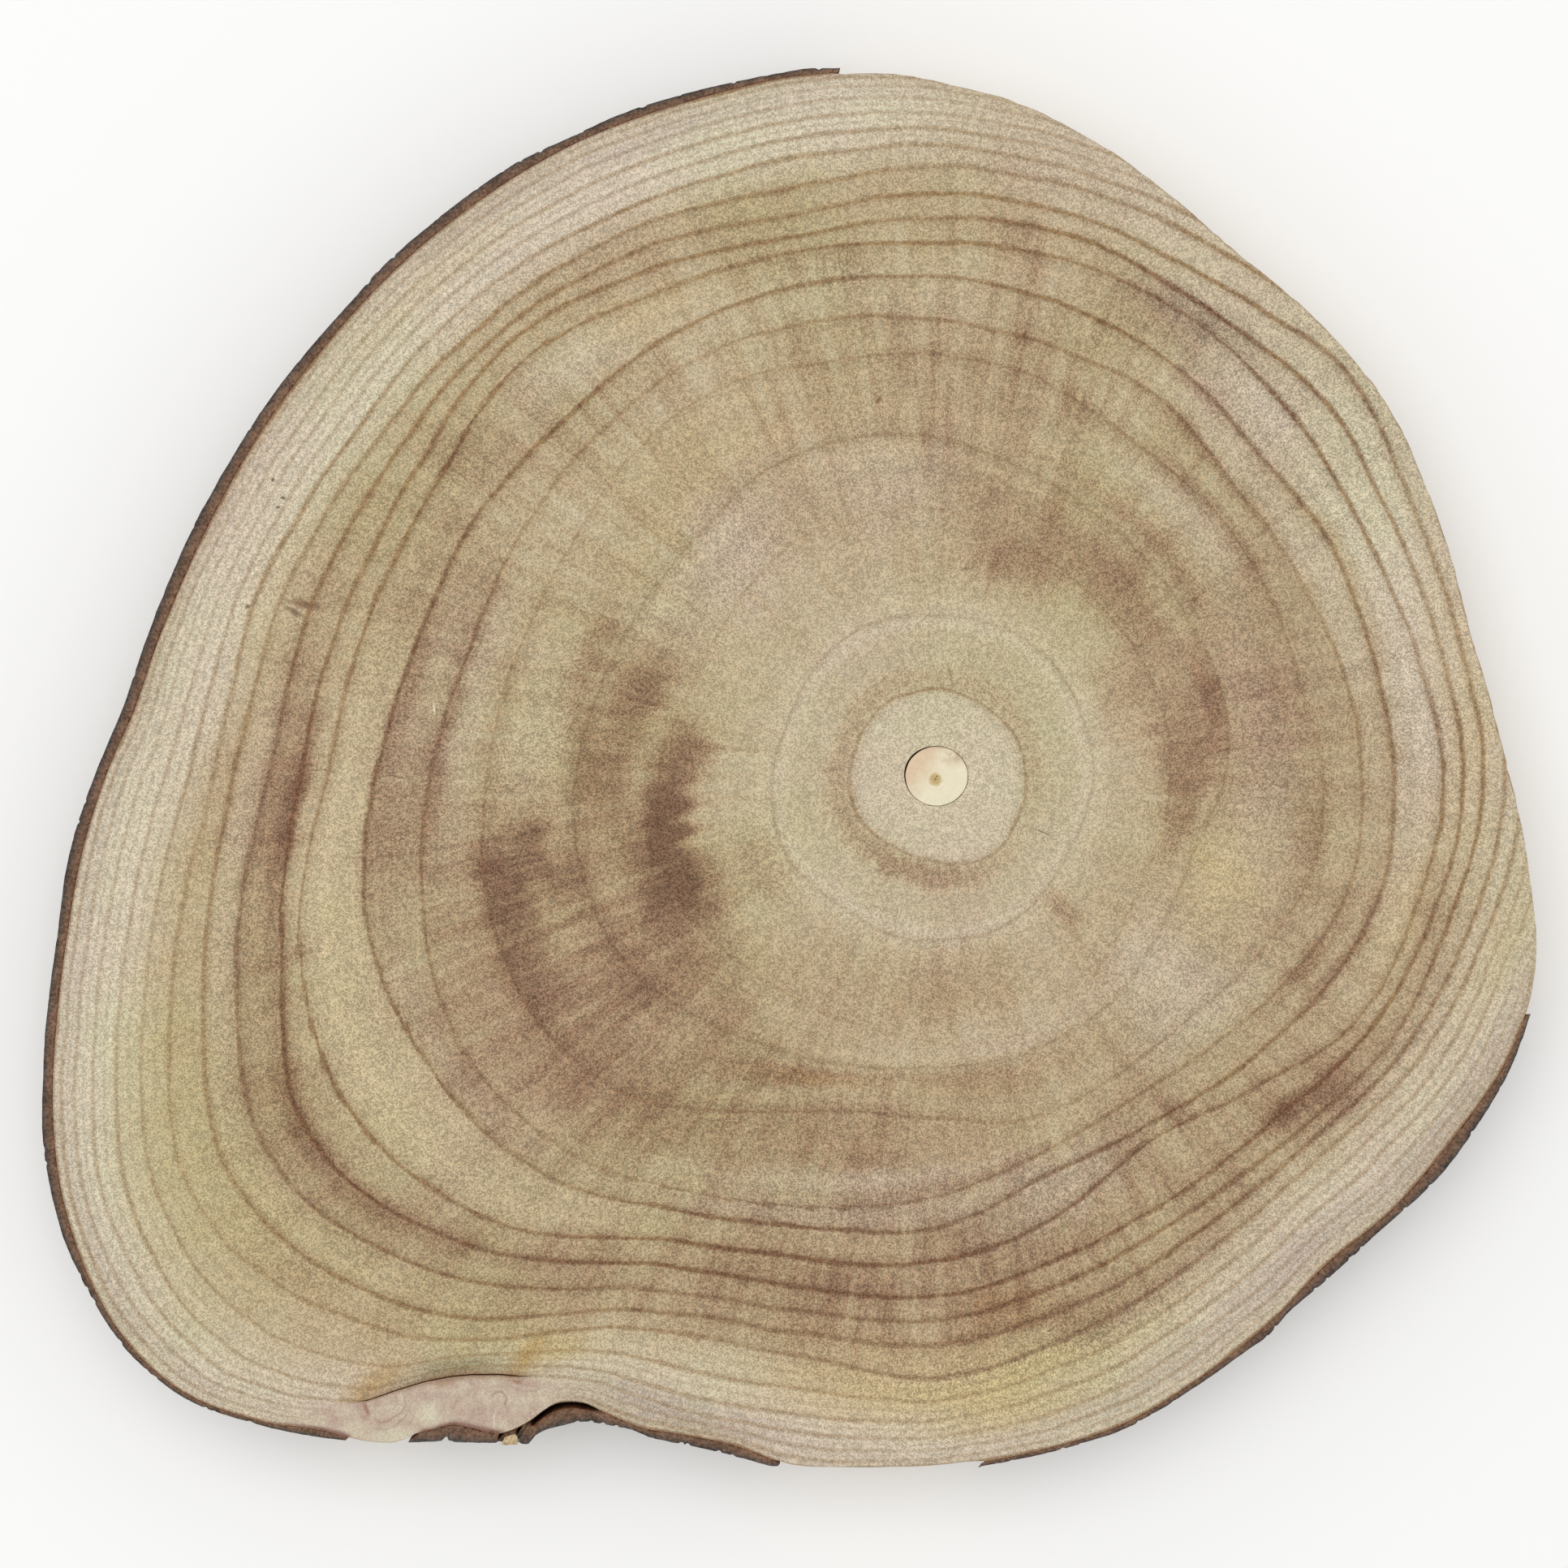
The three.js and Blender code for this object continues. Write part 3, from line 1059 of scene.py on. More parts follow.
    def covered(self, degrees: Array, edge: Array) -> Array:
        """How far the bark sits against the wood.

        Args:
            degrees: Angle of each column.
            edge: Radius of the wood's edge there.

        Returns:
            0 to 1 at each column.
        """
        near = np.zeros_like(degrees)
        for outline in self.bark:
            inner, _ = outline.reaches(degrees)
            near = np.maximum(near, 1 - smooth_step(*LOOSE_GAP, inner - edge))
        return near


# ---- finishes


# How far soft noise bends the marks and curls out of shape.
BEND = 1.8


@dataclass(frozen=True)
class Mark:
    """A small fleck, pinhole or check on the sawn face."""

    east: float
    north: float
    length: float
    width: float
    turn: float
    colour: Colour
    strength: float


MARKS = (
    Mark(-118.0, 66.0, 0.5, 0.5, 0, (70, 45, 30), 0.9),
    Mark(-115.8, 61.4, 0.6, 0.5, 0, (80, 52, 36), 0.9),
    Mark(-117.1, 59.5, 0.5, 0.4, 0, (90, 60, 40), 0.8),
    Mark(-123.6, 36.7, 0.8, 0.6, 30, (105, 75, 50), 0.8),
    Mark(-110.6, 37.3, 5.5, 1.1, 165, (120, 85, 58), 0.75),
    Mark(-113.0, 35.8, 3.0, 0.8, 150, (110, 78, 52), 0.7),
    Mark(-81.0, 13.8, 1.9, 0.25, 97, (236, 228, 196), 0.9),
    Mark(20.2, 84.1, 1.3, 0.7, 60, (120, 78, 50), 0.8),
    Mark(8.7, 90.9, 0.8, 0.5, 0, (125, 85, 55), 0.7),
    Mark(59.6, -127.7, 1.4, 0.3, 40, (110, 80, 60), 0.8),
    Mark(40.1, 45.6, 1.8, 0.35, 10, (125, 98, 72), 0.7),
    Mark(-106.6, -0.6, 4.2, 0.22, 176, (110, 82, 60), 0.7),
    Mark(-90.3, -1.9, 4.6, 0.22, 180, (112, 84, 62), 0.7),
    Mark(57.3, -14.5, 3.0, 0.25, 330, (120, 90, 70), 0.7),
    Mark(-82.3, -147.2, 3.0, 3.4, 20, (222, 214, 186), 0.8),
    Mark(-91.0, -152.4, 7.5, 2.8, 5, (216, 208, 182), 0.75),
    Mark(-78.5, -140.2, 3.4, 1.0, 12, (170, 130, 104), 0.5),
    Mark(-96.6, -146.0, 0.7, 2.2, 10, (150, 98, 74), 0.7),
    Mark(-67.1, -148.4, 0.35, 2.6, 4, (228, 214, 196), 0.6),
    Mark(-64.6, -145.6, 0.3, 2.2, 2, (170, 138, 118), 0.5),
    Mark(-62.2, -139.8, 1.6, 0.7, 340, (160, 104, 64), 0.6),
)


@dataclass(frozen=True)
class Curl:
    """A curled growth line of the callus: part of a circle that opens away from where it faces."""

    east: float
    north: float
    radius: float
    facing: float
    half_turn: float
    strength: float


CURLS = (
    Curl(-92.0, -144.6, 2.2, -30, 80, 0.22),
    Curl(-92.2, -144.6, 4.3, -50, 75, 0.45),
    Curl(-93.4, -143.6, 7.2, -55, 50, 0.40),
    Curl(-93.6, -143.6, 9.0, -50, 35, 0.28),
    Curl(-66.1, -143.8, 1.9, 50, 105, 0.60),
    Curl(-66.6, -144.4, 3.6, 70, 50, 0.22),
    Curl(-60.0, -136.6, 5.6, -80, 50, 0.35),
    Curl(-73.5, -146.6, 3.6, 100, 60, 0.15),
)


@dataclass(frozen=True)
class SawnWood:
    """Sanded end grain: rings, rays, pores, stains, callus and small marks.

    The rays are columns round the pith, their drift outwards and their detail: broad, fine, dashed.
    """

    name: str = "sawn_wood"
    clean: Colour = (204, 191, 158)
    toned: Colour = (190, 170, 134)
    stained: Colour = (163, 134, 103)
    deepest: Colour = (128, 96, 74)
    whitish: Colour = (226, 216, 196)
    yellowish: Colour = (205, 186, 134)
    orange: Colour = (190, 150, 84)
    smudge: Colour = (132, 122, 98)
    ring_line: Colour = (118, 80, 54)
    pale_line: Colour = (154, 122, 80)
    mauve: Colour = (176, 158, 152)
    callus: Colour = (203, 183, 162)
    callus_pink: Colour = (192, 164, 149)
    callus_pale: Colour = (213, 199, 174)
    curl: Colour = (160, 124, 108)
    bast: Colour = (112, 56, 48)
    browned: Colour = (132, 84, 54)
    # Dark of the closed wound's groove: included bark's colour and painted shade.
    slit_bark_and_shade: Colour = (84, 52, 32)
    green_cast: Colour = (252, 255, 247)
    no_cast: Colour = (255, 254, 253)
    pink_cast: Colour = (255, 251, 254)
    rays: tuple[tuple[float, float, float], ...] = (
        (26.0, 0.035, 3.0), (130.0, 0.05, 2.0), (290.0, 1.3, 1.0),
    )
    pore_size: float = 0.35
    whitish_share: float = 0.75
    yellowish_share: float = 0.6
    orange_share: float = 0.65
    smudge_share: float = 0.75
    mauve_share: float = 0.5
    line_share: float = 0.9
    late_share: float = 0.26
    browned_share: float = 0.6
    slit_share: float = 0.95
    curl_width: float = 0.42
    relief: float = 0.08

    def make(self, groups: SharedGroups, pith: Array) -> Material:
        """Builds the material.

        Args:
            groups: The shared node groups.
            pith: The pith's x and y.

        Returns:
            The material.
        """
        pen, shader = new_material(self.name)
        place = pen.millimetres(pith)
        broad, fine, dashes = (
            pen.use(
                groups.radial_streaks, Vector=place, Columns=columns, Drift=drift, Detail=detail,
            ).outputs[0]
            for columns, drift, detail in self.rays
        )
        drift = pen.noise(place, 0.045, 3.0, 0.55)
        swing = pen.plus(pen.line(broad, 0.25, 0.75, -0.5, 0.5), pen.line(fine, 0.25, 0.75, -0.3, 0.3))
        swing = pen.plus(swing, pen.line(drift, 0.25, 0.75, -0.4, 0.4))
        reach = pen.times(pen.line(pen.mask(Tint.STREAKS.value), 0.0, 1.0, 0.22, 0.5), swing)
        amount = pen.plus(pen.mask(Tint.DARK.value), reach, clamp=True)
        colour = pen.colours(amount, (
            (0.0, self.clean), (0.33, self.toned), (0.68, self.stained), (1.0, self.deepest),
        ))
        colour = self._tinted(pen, colour, drift)
        colour = self._bands(pen, groups.ring_lines, colour, place, drift, amount)
        colour = pen.shade(colour, pen.line(fine, 0.3, 0.7, 0.97, 1.03))
        reach = pen.line(amount, 0.15, 0.8, 0.05, 0.2)
        dashed = pen.times(pen.line(dashes, 0.3, 0.7, -1.0, 1.0), reach)
        colour = pen.shade(colour, pen.plus(1.0, dashed))
        seen = pen.line(amount, 0.12, 0.75, 0.21, 0.42)
        pores = pen.use(groups.pores, Vector=place, Size=self.pore_size, Amount=seen)
        colour = pen.shade(colour, pores.outputs["Shade"])
        bend = pen.node("ShaderNodeTexNoise", {"Vector": place, "Scale": 0.28, "Detail": 1.0})
        bend = pen.stretch(bend.outputs["Color"], (BEND, BEND, 0))
        bent = pen.vector("ADD", pen.stretch(place, (1, 1, 0)), bend)
        colour = self._callus(pen, colour, place, bent, pith)
        for mark in MARKS:
            colour = self._marked(pen, colour, mark, bent, pith)
        rough = pen.line(pores.outputs["Height"], 0.0, 1.0, 0.82, 0.62)
        dress(pen, shader, colour, rough, pores.outputs["Height"], self.relief)
        return bpy.data.materials[self.name]

    def _tinted(self, pen: Pen, colour: Socket, drift: Socket) -> Socket:
        """Lays the pale, yellow, orange, grey and mauve patches, then a faint cast over it all.

        Args:
            pen: Draws in the material's tree.
            colour: The wood's colour so far.
            drift: Broad soft noise.

        Returns:
            The colour with the patches and the cast.
        """
        pale = pen.mask(Tint.LIGHT.value)
        pale = pen.times(pale, pen.line(drift, 0.3, 0.7, 0.75, 1.15), clamp=True)
        colour = pen.paint(colour, self.whitish, pen.times(pale, self.whitish_share))
        layers = (
            (Tint.YELLOW, self.yellowish, self.yellowish_share),
            (Tint.ORANGE, self.orange, self.orange_share),
            (Tint.GREY, self.smudge, self.smudge_share),
            (Tint.MAUVE, self.mauve, self.mauve_share),
        )
        for tint, over, most in layers:
            colour = pen.paint(colour, over, pen.times(pen.mask(tint.value), most, clamp=True))
        warmth = pen.noise(pen.millimetres(), 0.022, 3.0, 0.55)
        cast = pen.colours(warmth, ((0.36, self.green_cast), (0.5, self.no_cast), (0.64, self.pink_cast)))
        return pen.blend(1.0, colour, cast, "MULTIPLY")

    def _bands(
        self, pen: Pen, ring_lines: Tree, colour: Socket, place: Socket, drift: Socket,
        amount: Socket,
    ) -> Socket:
        """Draws the growth rings and the faint bands between them.

        Args:
            pen: Draws in the material's tree.
            ring_lines: The shared group that draws ring lines.
            colour: The wood's colour so far.
            place: Place on the piece.
            drift: Broad soft noise.
            amount: How stained the wood is.

        Returns:
            The colour with the rings.
        """
        wander = pen.line(pen.noise(place, 0.06, 3.0), 0.2, 0.8, -0.55, 0.55)
        gap = pen.mask("gap")
        ring = pen.plus(pen.mask("ring"), pen.maths("DIVIDE", wander, gap))
        within = pen.node(
            "ShaderNodeTexNoise", {"W": ring, "Scale": 3.6, "Detail": 2.0}, noise_dimensions="1D",
        ).outputs[0]
        swing = pen.line(gap, 3.0, 12.0, 0.0, 0.055)
        banded = pen.times(pen.line(within, 0.25, 0.75, -1.0, 1.0), swing)
        colour = pen.shade(colour, pen.plus(1.0, banded))
        width = pen.line(drift, 0.3, 0.7, 0.62, 0.98)
        width = pen.times(width, pen.line(pen.mask("ring"), 3.0, 8.0, 0.85, 1.3))
        softness = pen.maths("MINIMUM", pen.times(gap, 0.45), 3.2)
        lines = pen.use(ring_lines, Ring=ring, Gap=gap, Width=width, Softness=softness)
        strength = pen.mask("strength")
        patchy = pen.line(pen.noise(place, 0.5, 3.0, 0.7), 0.3, 0.7, 0.6, 1.25)
        crisp = pen.times(pen.times(lines.outputs["Line"], strength), patchy, clamp=True)
        late = pen.times(pen.times(lines.outputs["Late"], strength), self.late_share)
        ink = pen.blend(pen.rise(amount, 0.25, 0.6), linear(self.pale_line), linear(self.ring_line))
        colour = pen.blend(late, colour, ink)
        colour = pen.blend(pen.times(crisp, self.line_share), colour, ink)
        halves = pen.use(
            ring_lines, Ring=pen.times(ring, 2.0), Gap=pen.times(gap, 0.5), Width=0.6, Softness=1.0,
        ).outputs["Line"]
        outer = pen.rise(pen.mask("ring"), 11.6, 13.0, 0.0, 0.20)
        return pen.blend(pen.times(pen.times(halves, outer), patchy), colour, ink)

    def _callus(self, pen: Pen, colour: Socket, place: Socket, bent: Socket, pith: Array) -> Socket:
        """Draws the callus with its curled lines, the groove above it, dark with included bark and painted
        shade, and the bast beside the bark.

        Args:
            pen: Draws in the material's tree.
            colour: The wood's colour so far.
            place: Place on the piece.
            bent: The same place, bent softly out of shape.
            pith: The pith's x and y.

        Returns:
            The colour with the callus.
        """
        cloudy = pen.noise(place, 0.22, 3.0, 0.6)
        flesh = pen.colours(cloudy, ((0.32, self.callus_pink), (0.5, self.callus), (0.68, self.callus_pale)))
        fibres = pen.noise(pen.stretch(place, (2.4, 0.35, 1.0)), 1.0, 2.0, 0.7)
        flesh = pen.shade(flesh, pen.line(fibres, 0.3, 0.7, 0.92, 1.06))
        for curl in CURLS:
            flesh = self._curled(pen, flesh, curl, bent, pith)
        colour = pen.blend(pen.mask("callus"), colour, flesh)
        bast = pen.times(pen.mask("bast"), pen.line(cloudy, 0.3, 0.7, 0.6, 1.0))
        colour = pen.paint(colour, self.bast, bast)
        colour = pen.paint(colour, self.browned, pen.times(pen.mask("browned"), self.browned_share))
        # Paints the groove dark brown: the included bark's colour and painted shade inside it.
        return pen.paint(colour, self.slit_bark_and_shade, pen.times(pen.mask("slit_bark_and_shade"), self.slit_share))

    def _curled(self, pen: Pen, colour: Socket, curl: Curl, bent: Socket, pith: Array) -> Socket:
        """Draws one curled growth line of the callus.

        Args:
            pen: Draws in the material's tree.
            colour: The callus's colour so far.
            curl: The line.
            bent: Place on the piece, bent softly out of shape.
            pith: The pith's x and y.

        Returns:
            The colour with the line.
        """
        away = pen.vector("SUBTRACT", bent, self._middle(curl, pith))
        facing = (math.cos(math.radians(curl.facing)), math.sin(math.radians(curl.facing)), 0.0)
        reach = pen.length(away)
        along = pen.node("ShaderNodeVectorMath", {0: away, 1: facing}, operation="DOT_PRODUCT")
        turn = pen.maths("DIVIDE", along.outputs["Value"], reach)
        open_end = math.cos(math.radians(curl.half_turn))
        ends = pen.rise(turn, open_end - 0.15, open_end + 0.25)
        off = pen.maths("ABSOLUTE", pen.maths("SUBTRACT", reach, curl.radius))
        line = pen.rise(off, 0.0, self.curl_width, curl.strength, 0.0)
        return pen.paint(colour, self.curl, pen.times(line, ends))

    def _marked(self, pen: Pen, colour: Socket, mark: Mark, bent: Socket, pith: Array) -> Socket:
        """Lays one small mark over a colour.

        Args:
            pen: Draws in the material's tree.
            colour: The wood's colour so far.
            mark: The mark.
            bent: Place on the piece, bent softly out of shape.
            pith: The pith's x and y.

        Returns:
            The colour with the mark.
        """
        turned = pen.node("ShaderNodeMapping", {
            "Vector": bent,
            "Location": self._middle(mark, pith),
            "Rotation": (0.0, 0.0, math.radians(mark.turn)),
            "Scale": (mark.length, mark.width, 1.0),
        }, vector_type="TEXTURE").outputs[0]
        return pen.paint(colour, mark.colour, pen.rise(pen.length(turned), 0.2, 1.15, mark.strength, 0.0))

    @staticmethod
    def _middle(thing: Mark | Curl, pith: Array) -> tuple[float, float, float]:
        """Middle of a mark or curl from the pith, moved as the bending moves the wood there."""
        return thing.east - float(pith[0]) + BEND / 2, thing.north - float(pith[1]) + BEND / 2, 0.0


@dataclass(frozen=True)
class SideWood:
    """Bare wood of the slice's side, and split wood: fibres that run along the log."""

    name: str
    pale: Colour
    brown: Colour
    deepest: Colour
    fibre_width: float
    fibre_length: float = 18.0
    coarse_width: float = 6.0
    coarse_length: float = 60.0
    relief: float = 0.12

    def make(self, groups: SharedGroups) -> Material:
        """Builds the material.

        Args:
            groups: The shared node groups.

        Returns:
            The material.
        """
        pen, shader = new_material(self.name)
        place = pen.millimetres()
        fibres, coarse = (
            pen.use(groups.upright_fibres, Vector=place, Width=self.fibre_width * width, Length=length)
            for width, length in ((1, self.fibre_length), (self.coarse_width, self.coarse_length))
        )
        mixed = pen.plus(
            pen.times(fibres.outputs["Fibre"], 0.45), pen.times(coarse.outputs["Fibre"], 0.55),
        )
        colour = pen.colours(mixed, ((0.12, self.deepest), (0.42, self.brown), (0.8, self.pale)))
        grime = pen.rise(pen.noise(place, 0.09, 3.0), 0.55, 0.75, 0.0, 0.5)
        colour = pen.paint(colour, self.brown, grime)
        rough = pen.line(fibres.outputs["Fibre"], 0.0, 1.0, 0.85, 0.65)
        dress(pen, shader, colour, rough, fibres.outputs["Height"], self.relief)
        return bpy.data.materials[self.name]


@dataclass(frozen=True)
class BarkFace:
    """Outer face of thin, young bark: grey-brown skin with shallow upright fissures, darkened inside partly
    by the deeper bark's colour and partly as painted shade.
    """

    name: str = "bark_face"
    skin: Colour = (130, 116, 98)
    brown: Colour = (104, 84, 66)
    fissure_bark_and_shade: Colour = (60, 44, 34)
    lichen: Colour = (136, 138, 116)
    fibre_width: float = 1.3
    fibre_length: float = 9.0
    grain_size: float = 0.7
    grain_amount: float = 0.14
    relief: float = 0.2

    def make(self, groups: SharedGroups) -> Material:
        """Builds the material.

        Args:
            groups: The shared node groups.

        Returns:
            The material.
        """
        pen, shader = new_material(self.name)
        place = pen.millimetres()
        fibres = pen.use(
            groups.upright_fibres, Vector=place, Width=self.fibre_width, Length=self.fibre_length,
        )
        patchy = pen.noise(pen.stretch(place, (1.0, 1.0, 0.45)), 0.085, 5.0, 0.68)
        colour = pen.paint(linear(self.brown), self.skin, pen.rise(patchy, 0.32, 0.66))
        colour = pen.shade(colour, pen.line(fibres.outputs["Fibre"], 0.0, 1.0, 0.72, 1.16))
        green = pen.rise(pen.noise(place, 0.16, 4.0, 0.65), 0.56, 0.72, 0.0, 0.45)
        colour = pen.paint(colour, self.lichen, green)
        # Darkens the fissures by their depth: partly the deeper bark's colour, partly painted shade of the
        # recess.
        sunk = pen.rise(pen.mask("fissure_bark_and_shade"), 0.35, 0.95, 0.0, 0.85)
        colour = pen.paint(colour, self.fissure_bark_and_shade, sunk)
        grain = pen.use(groups.pores, Vector=place, Size=self.grain_size, Amount=self.grain_amount)
        colour = pen.shade(colour, grain.outputs["Shade"])
        height = pen.times(fibres.outputs["Height"], grain.outputs["Height"])
        rough = pen.line(patchy, 0.3, 0.7, 0.92, 0.78)
        dress(pen, shader, colour, rough, height, self.relief)
        return bpy.data.materials[self.name]


@dataclass(frozen=True)
class BarkCut:
    """Sawn face of the bark: dark red at the wood, brown and speckled, dark grey at the rim, which is
    painted shade along the outer edge.
    """

    name: str = "bark_cut"
    inner: Colour = (92, 52, 40)
    middle: Colour = (126, 96, 74)
    outer: Colour = (112, 88, 72)
    # rim: painted shade along the cut's outer edge.
    rim: Colour = (76, 72, 68)
    grain_size: float = 0.7
    grain_amount: float = 0.3
    relief: float = 0.12

    def make(self, groups: SharedGroups) -> Material:
        """Builds the material.

        Args:
            groups: The shared node groups.

        Returns:
            The material.
        """
        pen, shader = new_material(self.name)
        place = pen.millimetres()
        ragged = pen.line(pen.noise(place, 0.7, 3.0, 0.65), 0.25, 0.75, -0.2, 0.2)
        depth = pen.plus(pen.mask("depth"), ragged)
        colour = pen.colours(depth, (
            (0.0, self.inner), (0.14, self.middle), (0.6, self.outer), (0.95, self.rim), (1.0, self.rim),
        ))
        blotched = pen.rise(pen.noise(place, 0.25, 3.0, 0.6), 0.4, 0.65, 0.82, 1.12)
        colour = pen.shade(colour, blotched)
        grain = pen.use(groups.pores, Vector=place, Size=self.grain_size, Amount=self.grain_amount)
        colour = pen.shade(colour, grain.outputs["Shade"])
        rough = pen.line(grain.outputs["Height"], 0.0, 1.0, 0.95, 0.8)
        dress(pen, shader, colour, rough, grain.outputs["Height"], self.relief)
        return bpy.data.materials[self.name]


@dataclass(frozen=True)
class KnifeCut:
    """Knife-cut end of the plug: smooth cream wood around a pith spot of its own."""

    name: str = "knife_cut"
    cream: Colour = (236, 226, 196)
    blush: Colour = (222, 196, 164)
    brown: Colour = (176, 138, 98)
    spot: Colour = (188, 160, 98)
    dot: Colour = (84, 58, 34)
    browned_share: float = 0.7
    ring_share: float = 0.05
    relief: float = 0.03

    def make(self, groups: SharedGroups, centre: Array) -> Material:
        """Builds the material.

        Args:
            groups: The shared node groups.
            centre: The plug's x and y.

        Returns:
            The material.
        """
        pen, shader = new_material(self.name)
        place = pen.millimetres(centre)
        cloudy = pen.noise(place, 0.35, 3.0, 0.55)
        blushed = pen.times(pen.mask("blush"), pen.line(cloudy, 0.3, 0.7, 0.5, 1.2), clamp=True)
        colour = pen.paint(linear(self.cream), self.blush, blushed)
        # A browner patch towards the upper right of the plug's end.
        browned_part = pen.times(pen.mask("browned"), pen.rise(cloudy, 0.35, 0.6), clamp=True)
        colour = pen.paint(colour, self.brown, pen.times(browned_part, self.browned_share))
        lines = pen.use(groups.ring_lines, Ring=pen.mask("ring"), Gap=2.4, Width=0.35, Softness=1.2)
        colour = pen.paint(colour, self.brown, pen.times(lines.outputs["Line"], self.ring_share))
        streaks = pen.use(groups.radial_streaks, Vector=place, Columns=14.0, Drift=0.25, Detail=2.0)
        colour = pen.shade(colour, pen.line(streaks.outputs[0], 0.3, 0.7, 0.96, 1.03))
        wobble = pen.line(pen.noise(place, 1.4, 2.0), 0.2, 0.8, -0.35, 0.35)
        wobble = pen.plus(pen.mask("from_spot"), wobble)
        colour = pen.paint(colour, self.spot, pen.rise(wobble, 0.9, 1.9, 0.85, 0.0))
        colour = pen.paint(colour, self.dot, pen.rise(wobble, 0.05, 0.55, 0.9, 0.0))
        rough = pen.line(cloudy, 0.3, 0.7, 0.5, 0.62)
        dress(pen, shader, colour, rough, cloudy, self.relief)
        return bpy.data.materials[self.name]


class Finishes:
    """Every material of the slice."""

    def __init__(self, pith: Array, plug_centre: Array) -> None:
        """Builds the shared groups and all the materials.

        Args:
            pith: The pith's x and y.
            plug_centre: The plug's x and y.
        """
        groups = SharedGroups()
        self.sawn = SawnWood().make(groups, pith)
        self.side, self.bore, self.plug_side, self.split, self.bark_back = (
            SideWood(*values).make(groups) for values in (
                ("side_wood", (206, 190, 158), (180, 156, 122), (132, 106, 80), 0.6),
                ("bore_wood_shaded", (150, 122, 88), (96, 70, 46), (46, 32, 22), 0.5),
                # The bore wall is far darker than the side: painted shade of the narrow gap round the plug.
                ("plug_side_wood", (222, 204, 164), (186, 156, 114), (140, 106, 72), 0.4),
                ("split_wood", (232, 216, 178), (206, 178, 134), (168, 132, 92), 0.35),
                ("bark_back", (142, 96, 64), (96, 58, 40), (52, 30, 22), 0.5),
            )
        )
        self.bark_face = BarkFace().make(groups)
        self.lenticel = BarkFace(
            "lenticel", (156, 134, 104), (126, 98, 70), (70, 50, 38), (150, 140, 116),
        ).make(groups)
        self.bark_cut = BarkCut().make(groups)
        self.knife_cut = KnifeCut().make(groups, plug_centre)


# ---- the wood


